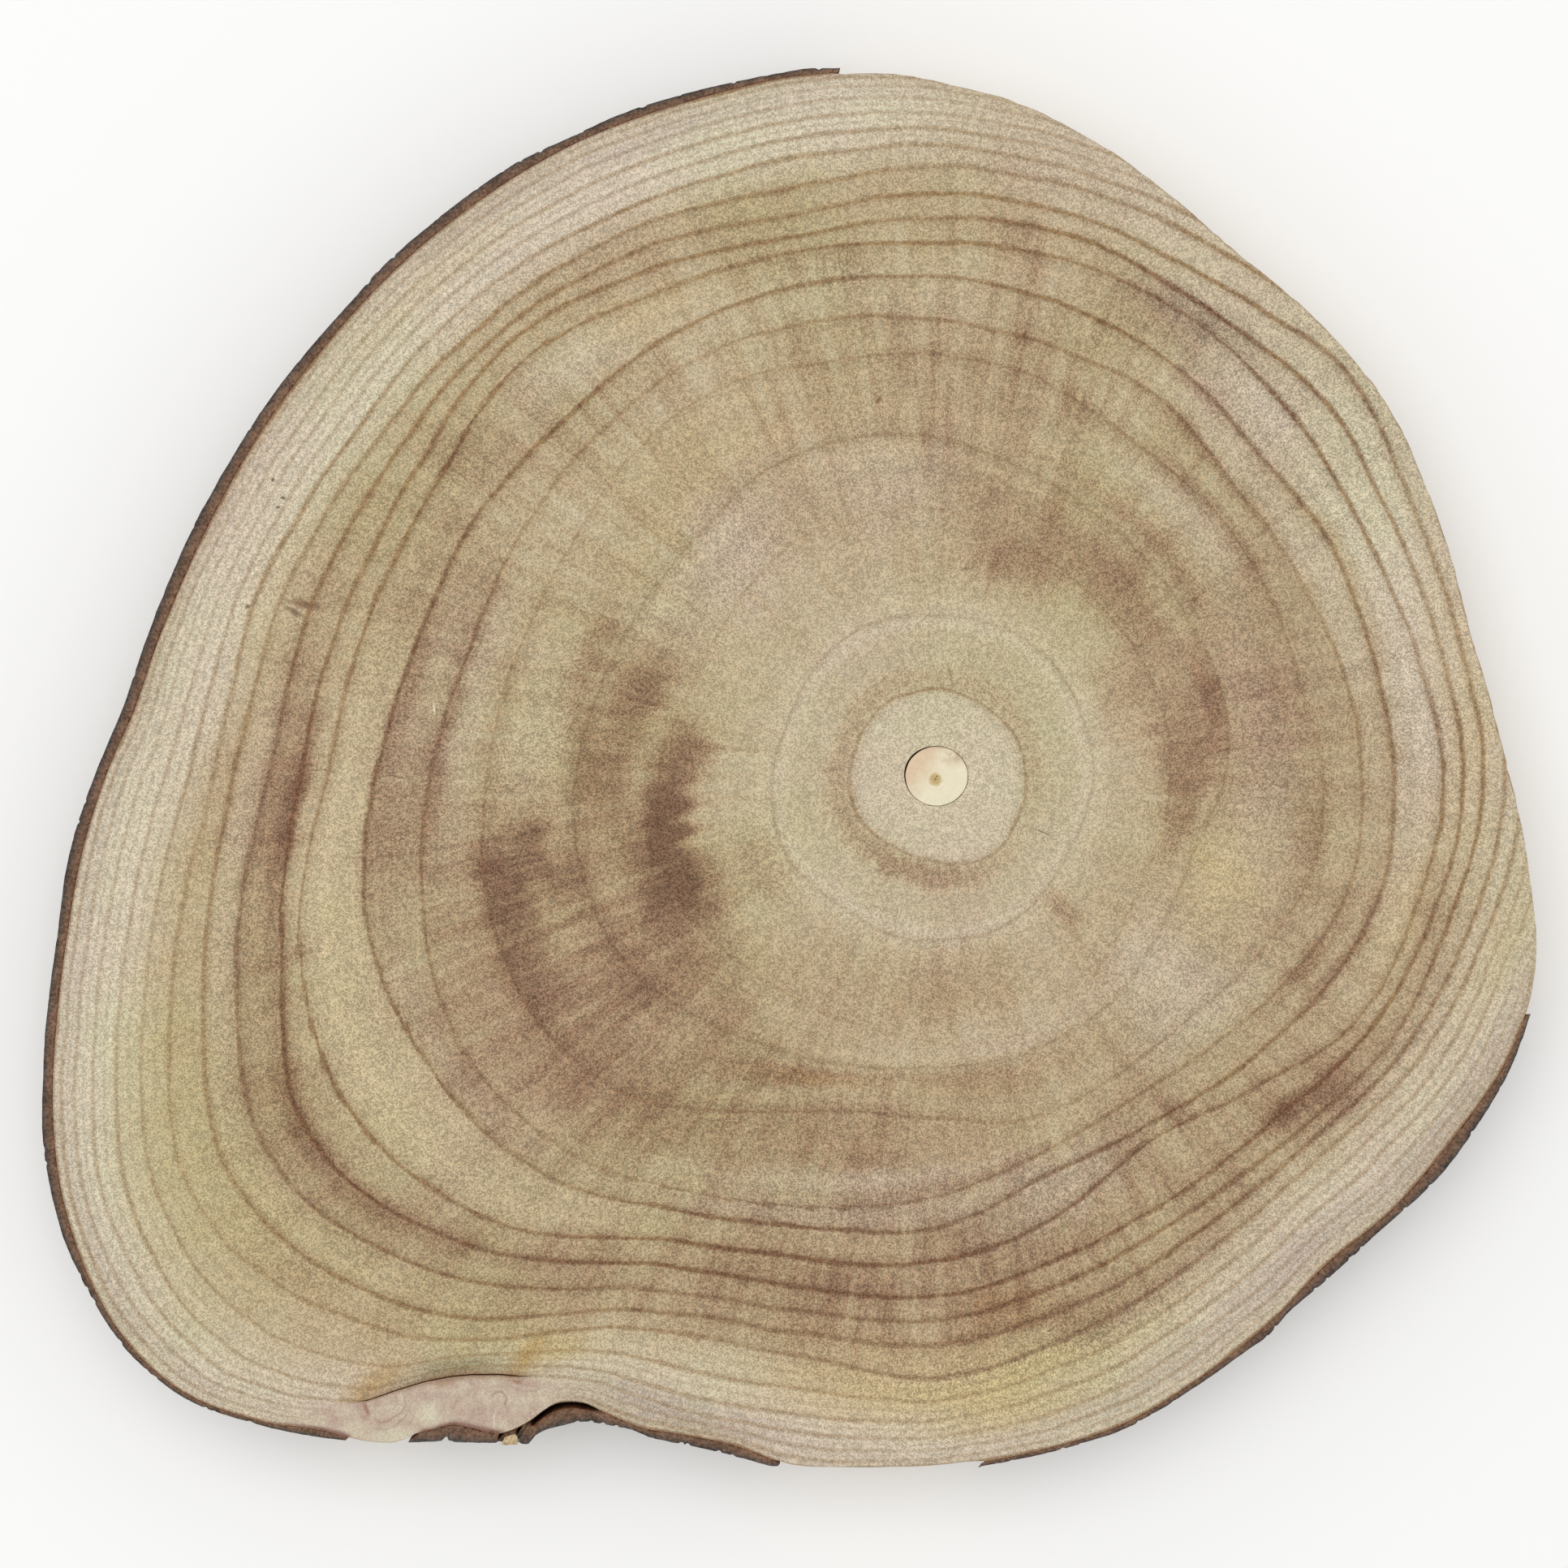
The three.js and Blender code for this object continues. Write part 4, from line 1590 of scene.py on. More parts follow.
@dataclass
class WoodDisc:
    """The sawn disc of wood: two sawn faces, its side, and the hollow pith."""

    node: str = "wood_disc"
    name: str = "wood_disc_visual"
    step: float = 0.8
    fine_step: float = 0.3
    fine_span: tuple[float, float] = (224.0, 246.0)
    rows_to_guide: int = 104
    rows_past_guide: int = 14
    side_rows: int = 12
    under_rows: int = 36
    bore_rows: int = 6
    ease: float = 0.45
    crease: float = 38.0
    slit_half_width: float = 0.2
    slit_depth: float = 0.7
    flush: float = 0.04
    rim: float = 0.05
    plug_room: float = 0.015
    plug_gap: float = 0.34
    plug_gap_at: float = 150.0
    plug_gap_half: float = 42.0
    bore_waves: float = 0.05
    bore_play: float = 0.1
    close_to_edge: float = 1.7
    face_relief: float = 0.05
    face_wave: Span = (12, 14)
    side_relief: float = 0.22
    top_share: float = 0.70
    top_corner: Span = (0.004, 0.335)
    under_share: float = 0.285
    under_corner: Span = (0.709, 0.725)
    strips_along: Span = (0.005, 0.99)
    side_strip: Span = (0.01, 0.14)
    bore_strip: Span = (0.2, 0.05)

    def columns(self) -> Array:
        """Angles of the grid's columns, closer together at the wound."""
        start, end = self.fine_span
        before = np.arange(0.0, start, self.step)
        close = np.arange(start, end, self.fine_step)
        after = np.arange(end, FULL_TURN - self.step / 2, self.step)
        return np.concatenate([before, close, after])

    def build(self, growth: Growth, finishes: Finishes) -> Piece:
        """Builds and dresses the disc.

        Args:
            growth: How the tree grew.
            finishes: The materials.

        Returns:
            The disc.
        """
        low, high = (corner[2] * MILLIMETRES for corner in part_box(self.node))
        degrees = self.columns()
        bore, edge = growth.outline.reaches(degrees)
        bore = self._bore(degrees, bore, growth.pith)
        radius, height, kinds = self._section(growth, degrees, bore, edge, low, high)
        heading = np.radians(degrees)[:, None]
        points = np.stack([
            growth.pith[0] + radius * np.cos(heading),
            growth.pith[1] + radius * np.sin(heading),
            height,
        ], axis=-1)
        masks = growth.masks(degrees, radius, bore, edge)
        slots = np.array([{"sawn": 0, "side": 1, "bore": 2}[kind] for kind in kinds])
        skin = Skin(points, True, slots, masks, self._layout(points, kinds))
        made = skin.make(self.name, [finishes.sawn, finishes.side, finishes.bore], self.crease)
        fit(made, Slot.WOOD, self.node)
        return made

    def _bore(self, degrees: Array, bore: Array, pith: Array) -> Array:
        """The hollow pith, which grips the plug all round but at one side.

        Args:
            degrees: Angle of each column.
            bore: Radius of the solid's bore there.
            pith: The pith's x and y.

        Returns:
            Radius of the bore at each column.
        """
        plug = PlanOutline("pith_plug", pith).reaches(degrees)[1]
        away = off_heading(degrees, self.plug_gap_at)
        gap = self.plug_room + self.plug_gap * np.exp(-((away / self.plug_gap_half) ** 2))
        gap += self.bore_waves * np.maximum(0, SoftNoise(5, 24).at(degrees / 15, np.zeros_like(degrees)))
        return np.minimum(plug + gap, bore + self.bore_play)

    def _section(
        self, growth: Growth, degrees: Array, bore: Array, edge: Array, low: float, high: float,
    ) -> tuple[Array, Array, list[str]]:
        """The closed run of grid points at each column: out along the top, down, back and up.

        Args:
            growth: How the tree grew.
            degrees: Angle of each column.
            bore: Radius of the bore there.
            edge: Radius of the wood's edge there.
            low: Height of the lower face.
            high: Height of the upper face.

        Returns:
            Radius and height of each point, and which surface starts at each row.
        """
        guide = growth.guide(degrees, edge)
        depth = growth.crack_depth(degrees)
        width = self.slit_half_width * (0.55 + 0.75 * depth)
        section = []

        def add(reach: Array, level: Rows, kind: str) -> None:
            """Adds one row of points, and the surface that starts at it."""
            section.append((reach, np.broadcast_to(level, reach.shape), kind))

        even = np.zeros_like(degrees)
        worn = SoftNoise(3, 450, 64)
        bare = 1 - growth.covered(degrees, edge)
        nibble = self.flush + self.ease * (1 + 0.5 * SoftNoise(4, 180).at(degrees / 2, even)) * bare
        turn_steps = degrees / self.step
        inner, inside = bore + self.rim, guide - width - bore - self.rim
        for share in np.linspace(0, 1, self.rows_to_guide + 1):
            reach = inner + inside * share
            waves = self.face_relief * worn.at(turn_steps / self.face_wave[0], reach / self.face_wave[1])
            add(reach, high + waves - self.face_relief, "sawn")
        add(guide, high - self.face_relief - self.slit_depth * depth, "sawn")
        steps_past = 1 - (1 - np.linspace(0, 1, self.rows_past_guide + 1)) ** self.close_to_edge
        past_guide = [guide + width + (edge - nibble - guide - width) * share for share in steps_past]
        for reach in past_guide[:-1]:
            add(reach, high - self.face_relief, "sawn")
        add(past_guide[-1], high - self.face_relief, "side")
        ripple = self.side_relief * SoftNoise(7, 450).at(turn_steps, even)
        ripple += self.side_relief * SoftNoise(8, 90).at(turn_steps / 5, even)
        for share in np.linspace(0, 1, self.side_rows + 1):
            level = high - nibble + (low - high + 2 * nibble) * share
            along = SoftNoise(9, 450).at(turn_steps, even + share * 2.5)
            push = 0.5 * ripple + 0.3 * self.side_relief * along - self.side_relief
            add(edge + bare * push, level, "side")
        for reach in past_guide[::-1]:
            add(reach, low, "sawn")
        add(guide, low + self.slit_depth * depth, "sawn")
        for share in np.linspace(1, 0, self.under_rows + 1):
            add(inner + inside * share, low, "sawn")
        for share in np.linspace(0, 1, self.bore_rows + 1):
            add(bore, low + self.rim + (high - low - 2 * self.rim - self.face_relief) * share, "bore")
        radii, heights, kinds = zip(*section)
        return np.array(radii).T, np.array(heights).T, list(kinds)

    def _layout(self, points: Array, kinds: list[str]) -> Callable[[Array, Array], Array]:
        """Where each corner of each quad lies in the flat layout for a baked finish.

        Args:
            points: The grid.
            kinds: Which surface starts at each row.

        Returns:
            A function from grid column and row to the layout.
        """
        columns, rows = points.shape[:2]
        top_end = kinds.index("side")
        side_end = max(row for row, kind in enumerate(kinds) if kind == "side") + 1
        bore_start = kinds.index("bore")
        spread = float(np.ptp(points[..., 0]))
        corner = points[..., :2].min(axis=(0, 1))

        def lay(column: Array, row: Array) -> Array:
            """Lays out the corners of the grid's quads.

            Args:
                column: Column of each corner; it may be one past the last.
                row: Row of each corner; it may be one past the last.

            Returns:
                The place of each corner, 0 to 1 both ways.
            """
            place = points[column % columns, row % rows][..., :2] - corner
            quad_row = np.broadcast_to(row[..., :1], row.shape)
            top = place * (self.top_share / spread) + self.top_corner
            under = place * (self.under_share / spread) + self.under_corner
            along = column / columns * self.strips_along[1] + self.strips_along[0]
            down_side = (row - top_end + 1) / (side_end - top_end + 1)
            side = np.stack([along, self.side_strip[0] + self.side_strip[1] * down_side], axis=-1)
            up_bore = (row - bore_start + 1) / (rows - bore_start + 1)
            wall = np.stack([along, self.bore_strip[0] + self.bore_strip[1] * up_bore], axis=-1)
            laid = np.where((quad_row < top_end - 1)[..., None], top, side)
            laid = np.where(((quad_row >= side_end - 1) & (quad_row < bore_start))[..., None], under, laid)
            return np.where((quad_row >= bore_start)[..., None], wall, laid)

        return lay


@dataclass
class PithPlug:
    """The length of thin branch in the hollow pith, cut off with a knife."""

    node: str = "pith_plug"
    name: str = "pith_plug_visual"
    columns: int = 96
    rings: int = 16
    side_rows: int = 10
    drop_rows: int = 3
    ease: float = 0.1
    crease: float = 30.0
    hub: float = 0.02
    unevenness: float = 0.004
    below_top: float = 0.02
    facets: tuple[tuple[float, float, float], ...] = (
        (140, 0.055, 1.5), (315, 0.035, 2.5), (60, 0.06, 3.5), (225, 0.05, 4.5),
    )
    spot: Span = (-0.3, -0.75)
    ring_gap: float = 2.4
    blush_from: Span = (-1.0, 4.5)
    blush_heading: Span = (0.8, 0.6)
    # The browner patch on the plug's end, towards its upper right: its middle and its half size.
    browned_at: Span = (3.6, 4.6)
    browned_half: Span = (2.6, 1.8)

    def build(self, finishes: Finishes) -> Piece:
        """Builds and dresses the plug.

        Args:
            finishes: The materials.

        Returns:
            The plug.
        """
        low, high = (np.array(corner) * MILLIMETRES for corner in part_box(self.node))
        centre, half = (low + high) / 2, (high - low) / 2
        turn = np.linspace(0, 2 * math.pi, self.columns, endpoint=False)
        bumpy = SoftNoise(21, 48).at(turn / (2 * math.pi) * 48, np.zeros_like(turn))
        bumpy = 1 - self.unevenness * (1 + bumpy)
        rim = 1 - self.ease / half[0]
        shares = [*np.linspace(self.hub, rim, self.rings), *[1.0] * self.side_rows, rim, self.hub]
        down = np.linspace(0, 1, self.side_rows)
        side = high[2] - self.ease - (high[2] - low[2] - 2 * self.ease) * down
        levels = [*[high[2]] * self.rings, *side, low[2], low[2]]
        slots = [0] * self.rings + [1] * self.side_rows + [0, 0]
        points = np.zeros((self.columns, len(shares), 3))
        for row, (share, level) in enumerate(zip(shares, levels)):
            points[:, row, 0] = centre[0] + half[0] * share * bumpy * np.cos(turn)
            points[:, row, 1] = centre[1] + half[1] * share * bumpy * np.sin(turn)
            points[:, row, 2] = self._knife(points[:, row], centre, high[2]) if row < self.rings else level
        edge_drop = points[:, self.rings - 1, 2] - high[2]
        for row in range(self.drop_rows):
            points[:, self.rings + row, 2] += edge_drop * (1 - row / self.drop_rows)
        away = points[..., :2] - centre[:2]
        from_spot = np.hypot(*(away - np.array(self.spot)).transpose(2, 0, 1))
        heading = away[..., 1] * self.blush_heading[1] - away[..., 0] * self.blush_heading[0]
        off_bruise = (away - np.array(self.browned_at)) / np.array(self.browned_half)
        masks = {
            "ring": from_spot / self.ring_gap,
            "from_spot": from_spot,
            "blush": smooth_step(*self.blush_from, heading),
            "browned": np.exp(-(off_bruise[..., 0] ** 2) - off_bruise[..., 1] ** 2),
        }
        skin = Skin(points, True, np.array(slots), masks)
        made = skin.make(self.name, [finishes.knife_cut, finishes.plug_side], self.crease)
        fit(made, Slot.PALE_WOOD, self.node)
        return made

    def _knife(self, place: Array, centre: Array, top: float) -> Array:
        """Height of the knife-cut end: several shallow planes, the lowest one counting.

        Args:
            place: Places on the end.
            centre: The plug's centre.
            top: Height of the solid's top.

        Returns:
            The height at each place.
        """
        away = place[:, :2] - centre[:2]
        drop = np.zeros(len(place))
        for heading, slope, start in self.facets:
            angle = math.radians(heading)
            reach = away[:, 0] * math.cos(angle) + away[:, 1] * math.sin(angle)
            drop = np.maximum(drop, slope * (reach - start))
        return top - self.below_top - drop


# ---- the bark

# How closely an outline is read to space a strip's columns, and the fewest that a strip has.
TRIAL_POINTS = 2000
FEWEST_COLUMNS = 12


@dataclass
class BarkStrip:
    """One stretch of bark, with its two sawn faces, its back and its fissured outer face."""

    node: str
    name: str
    seed: int
    spacing: float = 0.7
    back_rows: int = 4
    cut_rows: int = 7
    face_rows: int = 30
    relief: float = 0.38
    ease: float = 0.1
    crease: float = 40.0
    seat_gap: float = 0.03
    thinnest: float = 0.12
    end_inset: float = 0.01
    cut_reach: Span = (0.04, 0.95)
    saw_marks: Span = (0.06, 0.07)
    tails: Span = (0.0, 0.0)
    tail_drop: float = 1.1
    tail_hold: float = 0.32
    ragged_ends: Span = (3.2, 3.2)
    ragged_length: float = 12.0
    ragged_depth: float = 9.0

    def build(self, growth: Growth, finishes: Finishes) -> Piece:
        """Builds and dresses the strip.

        Args:
            growth: How the tree grew.
            finishes: The materials.

        Returns:
            The strip.
        """
        pith = growth.pith
        low, top = (corner[2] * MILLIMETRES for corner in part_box(self.node))
        outline = PlanOutline(self.node, pith)
        degrees = self._columns(outline)
        start, end = outline.span()
        first, last = start + self.end_inset, end - self.end_inset
        inner, outer = outline.reaches(np.clip(degrees, first + self.tail_hold * (self.tails[0] > 0), last))
        wood = growth.outline.reaches(degrees)[1]
        seated = 1 - smooth_step(*LOOSE_GAP, np.abs(inner - wood))
        inner = inner * (1 - seated) + (wood + self.seat_gap) * seated
        torn = np.maximum(first - degrees, degrees - end + self.end_inset) * (max(self.tails) > 0)
        torn = np.maximum(torn, 0.0)
        inner = np.where(torn > 0, wood + self.seat_gap, inner)
        outer = np.maximum(outer - 0.5 * (torn > 0), inner + self.thinnest)
        high = top - self.tail_drop * smooth_step(0.0, 0.12, torn)
        thick = outer - inner
        along = self._run(degrees, outer)
        even = np.zeros_like(along)
        section = []

        def add(share: float, level: Rows, push: Rows, slot: int, deep: Rows) -> None:
            """Adds one row of points: its share of the thickness, height, relief, material and depth."""
            row = (inner + thick * share + push, level, slot, share, deep)
            section.append([np.broadcast_to(part, inner.shape) for part in row])

        for share in np.linspace(0, 1, self.back_rows):
            add(0, low + self.ease + (high - low - 2 * self.ease) * share, 0, 2, 0)
        push, _ = self._relief(along, high + even, thick)
        for share in np.linspace(*self.cut_reach, self.cut_rows):
            saw = self.saw_marks[0] * SoftNoise(self.seed + 5).at(along / 0.8, even + share * 3)
            add(share, high - self.saw_marks[1] + saw, push * share, 0, 0)
        for share in np.linspace(0, 1, self.face_rows):
            level = high - self.ease - (high - low - 2 * self.ease) * share
            push, deep = self._relief(along, level + even, thick)
            add(1, level, push, 1, deep)
        for share in np.linspace(*self.cut_reach[::-1], self.cut_rows):
            add(share, low, push * share, 0, 0)
        radius, height, slots, depth, sunk = (np.array(part).T for part in zip(*section))
        heading = np.radians(degrees[:, None] + self._ragged(along, height, top, outer))
        points = np.stack([
            pith[0] + radius * np.cos(heading), pith[1] + radius * np.sin(heading), height,
        ], axis=-1)
        skin = Skin(points, False, slots[0], {"depth": depth, "fissure_bark_and_shade": sunk})
        made = skin.make(self.name, [finishes.bark_cut, finishes.bark_face, finishes.bark_back], self.crease)
        fit(made, Slot.BARK, self.node)
        return made

    def _columns(self, outline: PlanOutline) -> Array:
        """Angles of the strip's columns, spaced evenly along its outer face.

        Args:
            outline: The solid's outline.

        Returns:
            The angles.
        """
        start, end = outline.span()
        first, last = start + self.end_inset, end - self.end_inset
        trial = np.linspace(first - self.tails[0], last + self.tails[1], TRIAL_POINTS)
        outer = outline.reaches(np.clip(trial, first, last))[1]
        run = self._run(trial, outer)
        count = max(int(run[-1] / self.spacing), FEWEST_COLUMNS)
        return np.interp(np.linspace(0, run[-1], count), run, trial)

    def _ragged(self, along: Array, height: Array, top: float, outer: Array) -> Array:
        """How far the torn ends are pulled in below the upper face, in degrees.

        Args:
            along: Length along the strip at each column.
            height: Height of each grid point.
            top: Height of the upper face.
            outer: Radius of the outer face at each column.

        Returns:
            A change of angle for each grid point.
        """
        below = smooth_step(0.0, self.ragged_depth, top - height)
        moved, even = np.zeros_like(height), np.zeros_like(height)
        ends = ((1.0, self.ragged_ends[0], along), (-1.0, self.ragged_ends[1], along[-1] - along))
        for seed, (sign, most, away) in enumerate(ends, self.seed + 8):
            noise = SoftNoise(seed)
            torn = 0.5 + 0.5 * noise.at(height / 5.5, even) + 0.25 * noise.at(height / 1.7, even)
            fade = 1 - smooth_step(0.0, self.ragged_length, away)
            moved += sign * most * torn * below * fade[:, None]
        return np.degrees(moved / outer[:, None])

    @staticmethod
    def _run(degrees: Array, radius: Array) -> Array:
        """Length along a line from its start."""
        heading = np.radians(degrees)
        steps = np.hypot(np.diff(radius * np.cos(heading)), np.diff(radius * np.sin(heading)))
        return np.concatenate([[0.0], np.cumsum(steps)])

    def _relief(self, along: Array, level: Array, thick: Array) -> tuple[Array, Array]:
        """Relief of the outer face.

        Args:
            along: Length along the strip.
            level: Height on the strip.
            thick: Thickness of the bark.

        Returns:
            How far the face moves outwards, and how deep in a crack of the bark each point is, 0 to 1.
        """
        bend = 1.1 * SoftNoise(self.seed + 1).at(along / 9, level / 9)
        wide = SoftNoise(self.seed).at((along + bend) / 3.0, level / 34)
        narrow = SoftNoise(self.seed + 2).at((along + bend) / 1.3, level / 8)
        grain = SoftNoise(self.seed + 3).at(along / 0.9, level / 2.2)
        slope = np.abs(np.gradient(wide, axis=0) / np.gradient(along, axis=0))
        cracked = 1 - smooth_step(0.2, 0.8, np.abs(wide) / np.maximum(slope, 0.12))
        cracked = cracked * smooth_step(0.1, 0.2, slope)
        broken = smooth_step(-0.1, 0.45, SoftNoise(self.seed + 4).at(along / 5, level / 7))
        deep = cracked * broken
        swell = 0.35 * wide + 0.3 * narrow + 0.2 * grain
        room = np.minimum(self.relief, 0.35 * thick)
        return room * (0.45 * swell - deep), deep


@dataclass
class Splinter:
    """The pale chip wedged in the broken bark."""

    node: str = "wood_splinter"
    name: str = "wood_splinter_visual"
    spacing: float = 0.16
    rows: int = 22
    relief: float = 0.1
    taper: float = 0.25
    ease: float = 0.1
    broken: float = 0.12
    crease: float = 35.0
    end_shares: Span = (0.05, 0.55)

    def build(self, pith: Array, finishes: Finishes) -> Piece:
        """Builds and dresses the chip.

        Args:
            pith: The pith's x and y.
            finishes: The materials.

        Returns:
            The chip.
        """
        low, high = (corner[2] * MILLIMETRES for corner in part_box(self.node))
        corners = PlanOutline(self.node, pith).loop()
        closed = np.vstack([corners, corners[:1]])
        run = np.concatenate([[0.0], np.cumsum(np.linalg.norm(np.diff(closed, axis=0), axis=1))])
        count = int(run[-1] / self.spacing)
        place = np.linspace(0, run[-1], count, endpoint=False)
        outline = np.stack([np.interp(place, run, closed[:, axis]) for axis in (0, 1)], axis=-1)
        middle = outline.mean(axis=0)
        away = outline - middle
        step = np.arange(count)
        fibres = SoftNoise(61, count).at(step * 1.0, np.zeros(count))
        shares = [*self.end_shares, *[1.0] * self.rows, *self.end_shares[::-1]]
        sides = np.linspace(high - self.ease, low + self.ease, self.rows)
        levels = [high, high, *sides, low, low]
        points = np.zeros((count, len(shares), 3))
        for row, (share, level) in enumerate(zip(shares, levels)):
            sunk = (high - level) / (high - low)
            ragged = SoftNoise(62, count).at(step * 0.5, np.full(count, sunk * 5))
            size = 1 - self.relief * (1 + 0.7 * fibres + 0.3 * ragged) / 2
            size = share * (1 - self.taper * sunk) * size
            points[:, row, :2] = pith + middle + away * size[:, None]
            points[:, row, 2] = level - self.broken * (1 + fibres) * (level > high - 0.3) * share
        skin = Skin(points, True, np.zeros(len(shares), int))
        made = skin.make(self.name, [finishes.split], self.crease)
        fit(made, Slot.PALE_WOOD, self.node)
        return made


# ---- scattered growths


class ScatterTree:
    """Geometry Nodes that scatter small lens-shaped growths or slivers over a face."""

    NUMBERS = {
        "Density": 2000.0,
        "Apart": 0.003,
        "Width": 0.002,
        "Height": 0.001,
        "Thickness": 0.0004,
        "Spread": 0.4,
        "Lean": 0.0,
    }

    def __init__(self) -> None:
        """Builds the tree."""
        self.tree = bpy.data.node_groups.new("Scatter On Face", "GeometryNodeTree")
        self.pen = Pen(self.tree)
        sockets = [("Geometry", "Geometry")] + [(name, "Float") for name in self.NUMBERS]
        for name, kind in sockets + [("Seed", "Int"), ("Material", "Material")]:
            self.tree.interface.new_socket(name, in_out="INPUT", socket_type="NodeSocket" + kind)
        self.tree.interface.new_socket("Geometry", in_out="OUTPUT", socket_type="NodeSocketGeometry")
        entry = self.tree.nodes.new("NodeGroupInput").outputs
        leave = self.tree.nodes.new("NodeGroupOutput").inputs
        scattered = self.pen.node("GeometryNodeDistributePointsOnFaces", {
            "Mesh": entry["Geometry"],
            "Density Max": entry["Density"],
            "Distance Min": entry["Apart"],
            "Seed": entry["Seed"],
        }, distribute_method="POISSON")
        placed = self.pen.node("GeometryNodeInstanceOnPoints", {
            "Points": scattered.outputs["Points"],
            "Instance": self._lens(entry),
            "Rotation": self._heading(entry, scattered.outputs["Normal"]),
            "Scale": self._size(entry),
        })
        real = self.pen.node("GeometryNodeRealizeInstances", {"Geometry": placed.outputs["Instances"]})
        dressed = self.pen.node("GeometryNodeSetMaterial", {
            "Geometry": real.outputs["Geometry"], "Material": entry["Material"],
        })
        self.pen.feed(leave["Geometry"], dressed.outputs["Geometry"])

    def _lens(self, entry: Outputs) -> Socket:
        """A low ball, flattened to the wanted width, height and thickness.

        Args:
            entry: The tree's inputs.

        Returns:
            The ball.
        """
        ball = self.pen.node("GeometryNodeMeshIcoSphere", {"Radius": 0.5, "Subdivisions": 2})
        size = self.pen.node("ShaderNodeCombineXYZ", {
            0: entry["Width"], 1: entry["Height"], 2: entry["Thickness"],
        })
        shaped = self.pen.node("GeometryNodeTransform", {
            "Geometry": ball.outputs["Mesh"], "Scale": size.outputs[0],
        })
        return shaped.outputs["Geometry"]

    def _heading(self, entry: Outputs, normal: Socket) -> Socket:
        """Turns each growth flat to the face and upright, then leans it a little.

        Args:
            entry: The tree's inputs.
            normal: Which way the face looks.

        Returns:
            The turn.
        """
        flat = self.pen.node("FunctionNodeAlignRotationToVector", {"Vector": normal}, axis="Z")
        upright = self.pen.node("FunctionNodeAlignRotationToVector", {
            "Rotation": flat.outputs["Rotation"], "Vector": (0, 0, 1),
        }, axis="Y", pivot_axis="Z")
        lean = self.pen.node("FunctionNodeRandomValue", {
            "Min": (-1, -1, -1), "Max": (1, 1, 1), "Seed": entry["Seed"],
        }, data_type="FLOAT_VECTOR")
        scaled = self.pen.node("ShaderNodeVectorMath", {
            0: lean.outputs["Value"], "Scale": entry["Lean"],
        }, operation="SCALE")
        turn = self.pen.node("FunctionNodeEulerToRotation", {0: scaled.outputs[0]})
        turned = self.pen.node("FunctionNodeRotateRotation", {
            "Rotation": upright.outputs["Rotation"], "Rotate By": turn.outputs[0],
        }, rotation_space="LOCAL")
        return turned.outputs["Rotation"]

    def _size(self, entry: Outputs) -> Socket:
        """A size for each growth, spread evenly about the wanted one.

        Args:
            entry: The tree's inputs.

        Returns:
            The size.
        """
        size = self.pen.node("FunctionNodeRandomValue", {"Seed": entry["Seed"]}, data_type="FLOAT")
        for sign, label in ((-1.0, "Min"), (1.0, "Max")):
            bound = self.pen.node(
                "ShaderNodeMath", {0: entry["Spread"], 1: sign, 2: 1.0}, operation="MULTIPLY_ADD",
            )
            wanted = [socket for socket in size.inputs if socket.name == label and socket.type == "VALUE"]
            self.pen.feed(wanted[0], bound.outputs[0])
        return [socket for socket in size.outputs if socket.type == "VALUE" and socket.enabled][0]

    def grow(
        self, name: str, ground: Piece, material: Material, seed: int,
        sizes: dict[str, float],
    ) -> None:
        """Scatters growths over a face, keeps them as a plain mesh and fits them to the slice.

        Args:
            name: The new piece's name.
            ground: A mesh of the face; it is used up.
            material: What the growths wear.
            seed: Seed of the scatter.
            sizes: Values for the tree's inputs, in metres where they are lengths.
        """
        modifier = ground.modifiers.new("Scatter", "NODES")
        modifier.node_group = self.tree
        values = self.NUMBERS | sizes | {"Seed": seed, "Material": material}
        for socket in self.tree.interface.items_tree:
            if socket.in_out == "INPUT" and socket.name in values:
                modifier[socket.identifier] = values[socket.name]
        ground.update_tag()
        bpy.context.view_layer.update()
        evaluated = ground.evaluated_get(bpy.context.evaluated_depsgraph_get())
        mesh = bpy.data.meshes.new_from_object(evaluated)
        ground.modifiers.remove(modifier)
        bpy.data.objects.remove(ground)
        mesh.name = name
        mesh.polygons.foreach_set("use_smooth", [True] * len(mesh.polygons))
        made = bpy.data.objects.new(name, mesh)
        bpy.context.scene.collection.objects.link(made)
        fit(made, Slot.BARK)


def face_of(source: Piece, slot: int, keep: Callable[[Array], Array]) -> Piece:
    """Copies the faces of one material slot, where they pass a test.

    Args:
        source: The piece.
        slot: Number of the material slot.
        keep: Tells from the faces' middles, in millimetres, which ones to keep.

    Returns:
        A bare mesh object of those faces.
    """
    mesh = source.data
    middles = np.zeros(len(mesh.polygons) * 3)
    mesh.polygons.foreach_get("center", middles)
    wanted = keep(middles.reshape(-1, 3) * MILLIMETRES)
    chosen = [face for face in mesh.polygons if face.material_index == slot and wanted[face.index]]
    used = sorted({vertex for face in chosen for vertex in face.vertices})
    place = {vertex: index for index, vertex in enumerate(used)}
    copy = bpy.data.meshes.new(source.name + "_ground")
    copy.from_pydata([mesh.vertices[v].co[:] for v in used], [],
                     [[place[v] for v in face.vertices] for face in chosen])
    made = bpy.data.objects.new(copy.name, copy)
    bpy.context.scene.collection.objects.link(made)
    return made


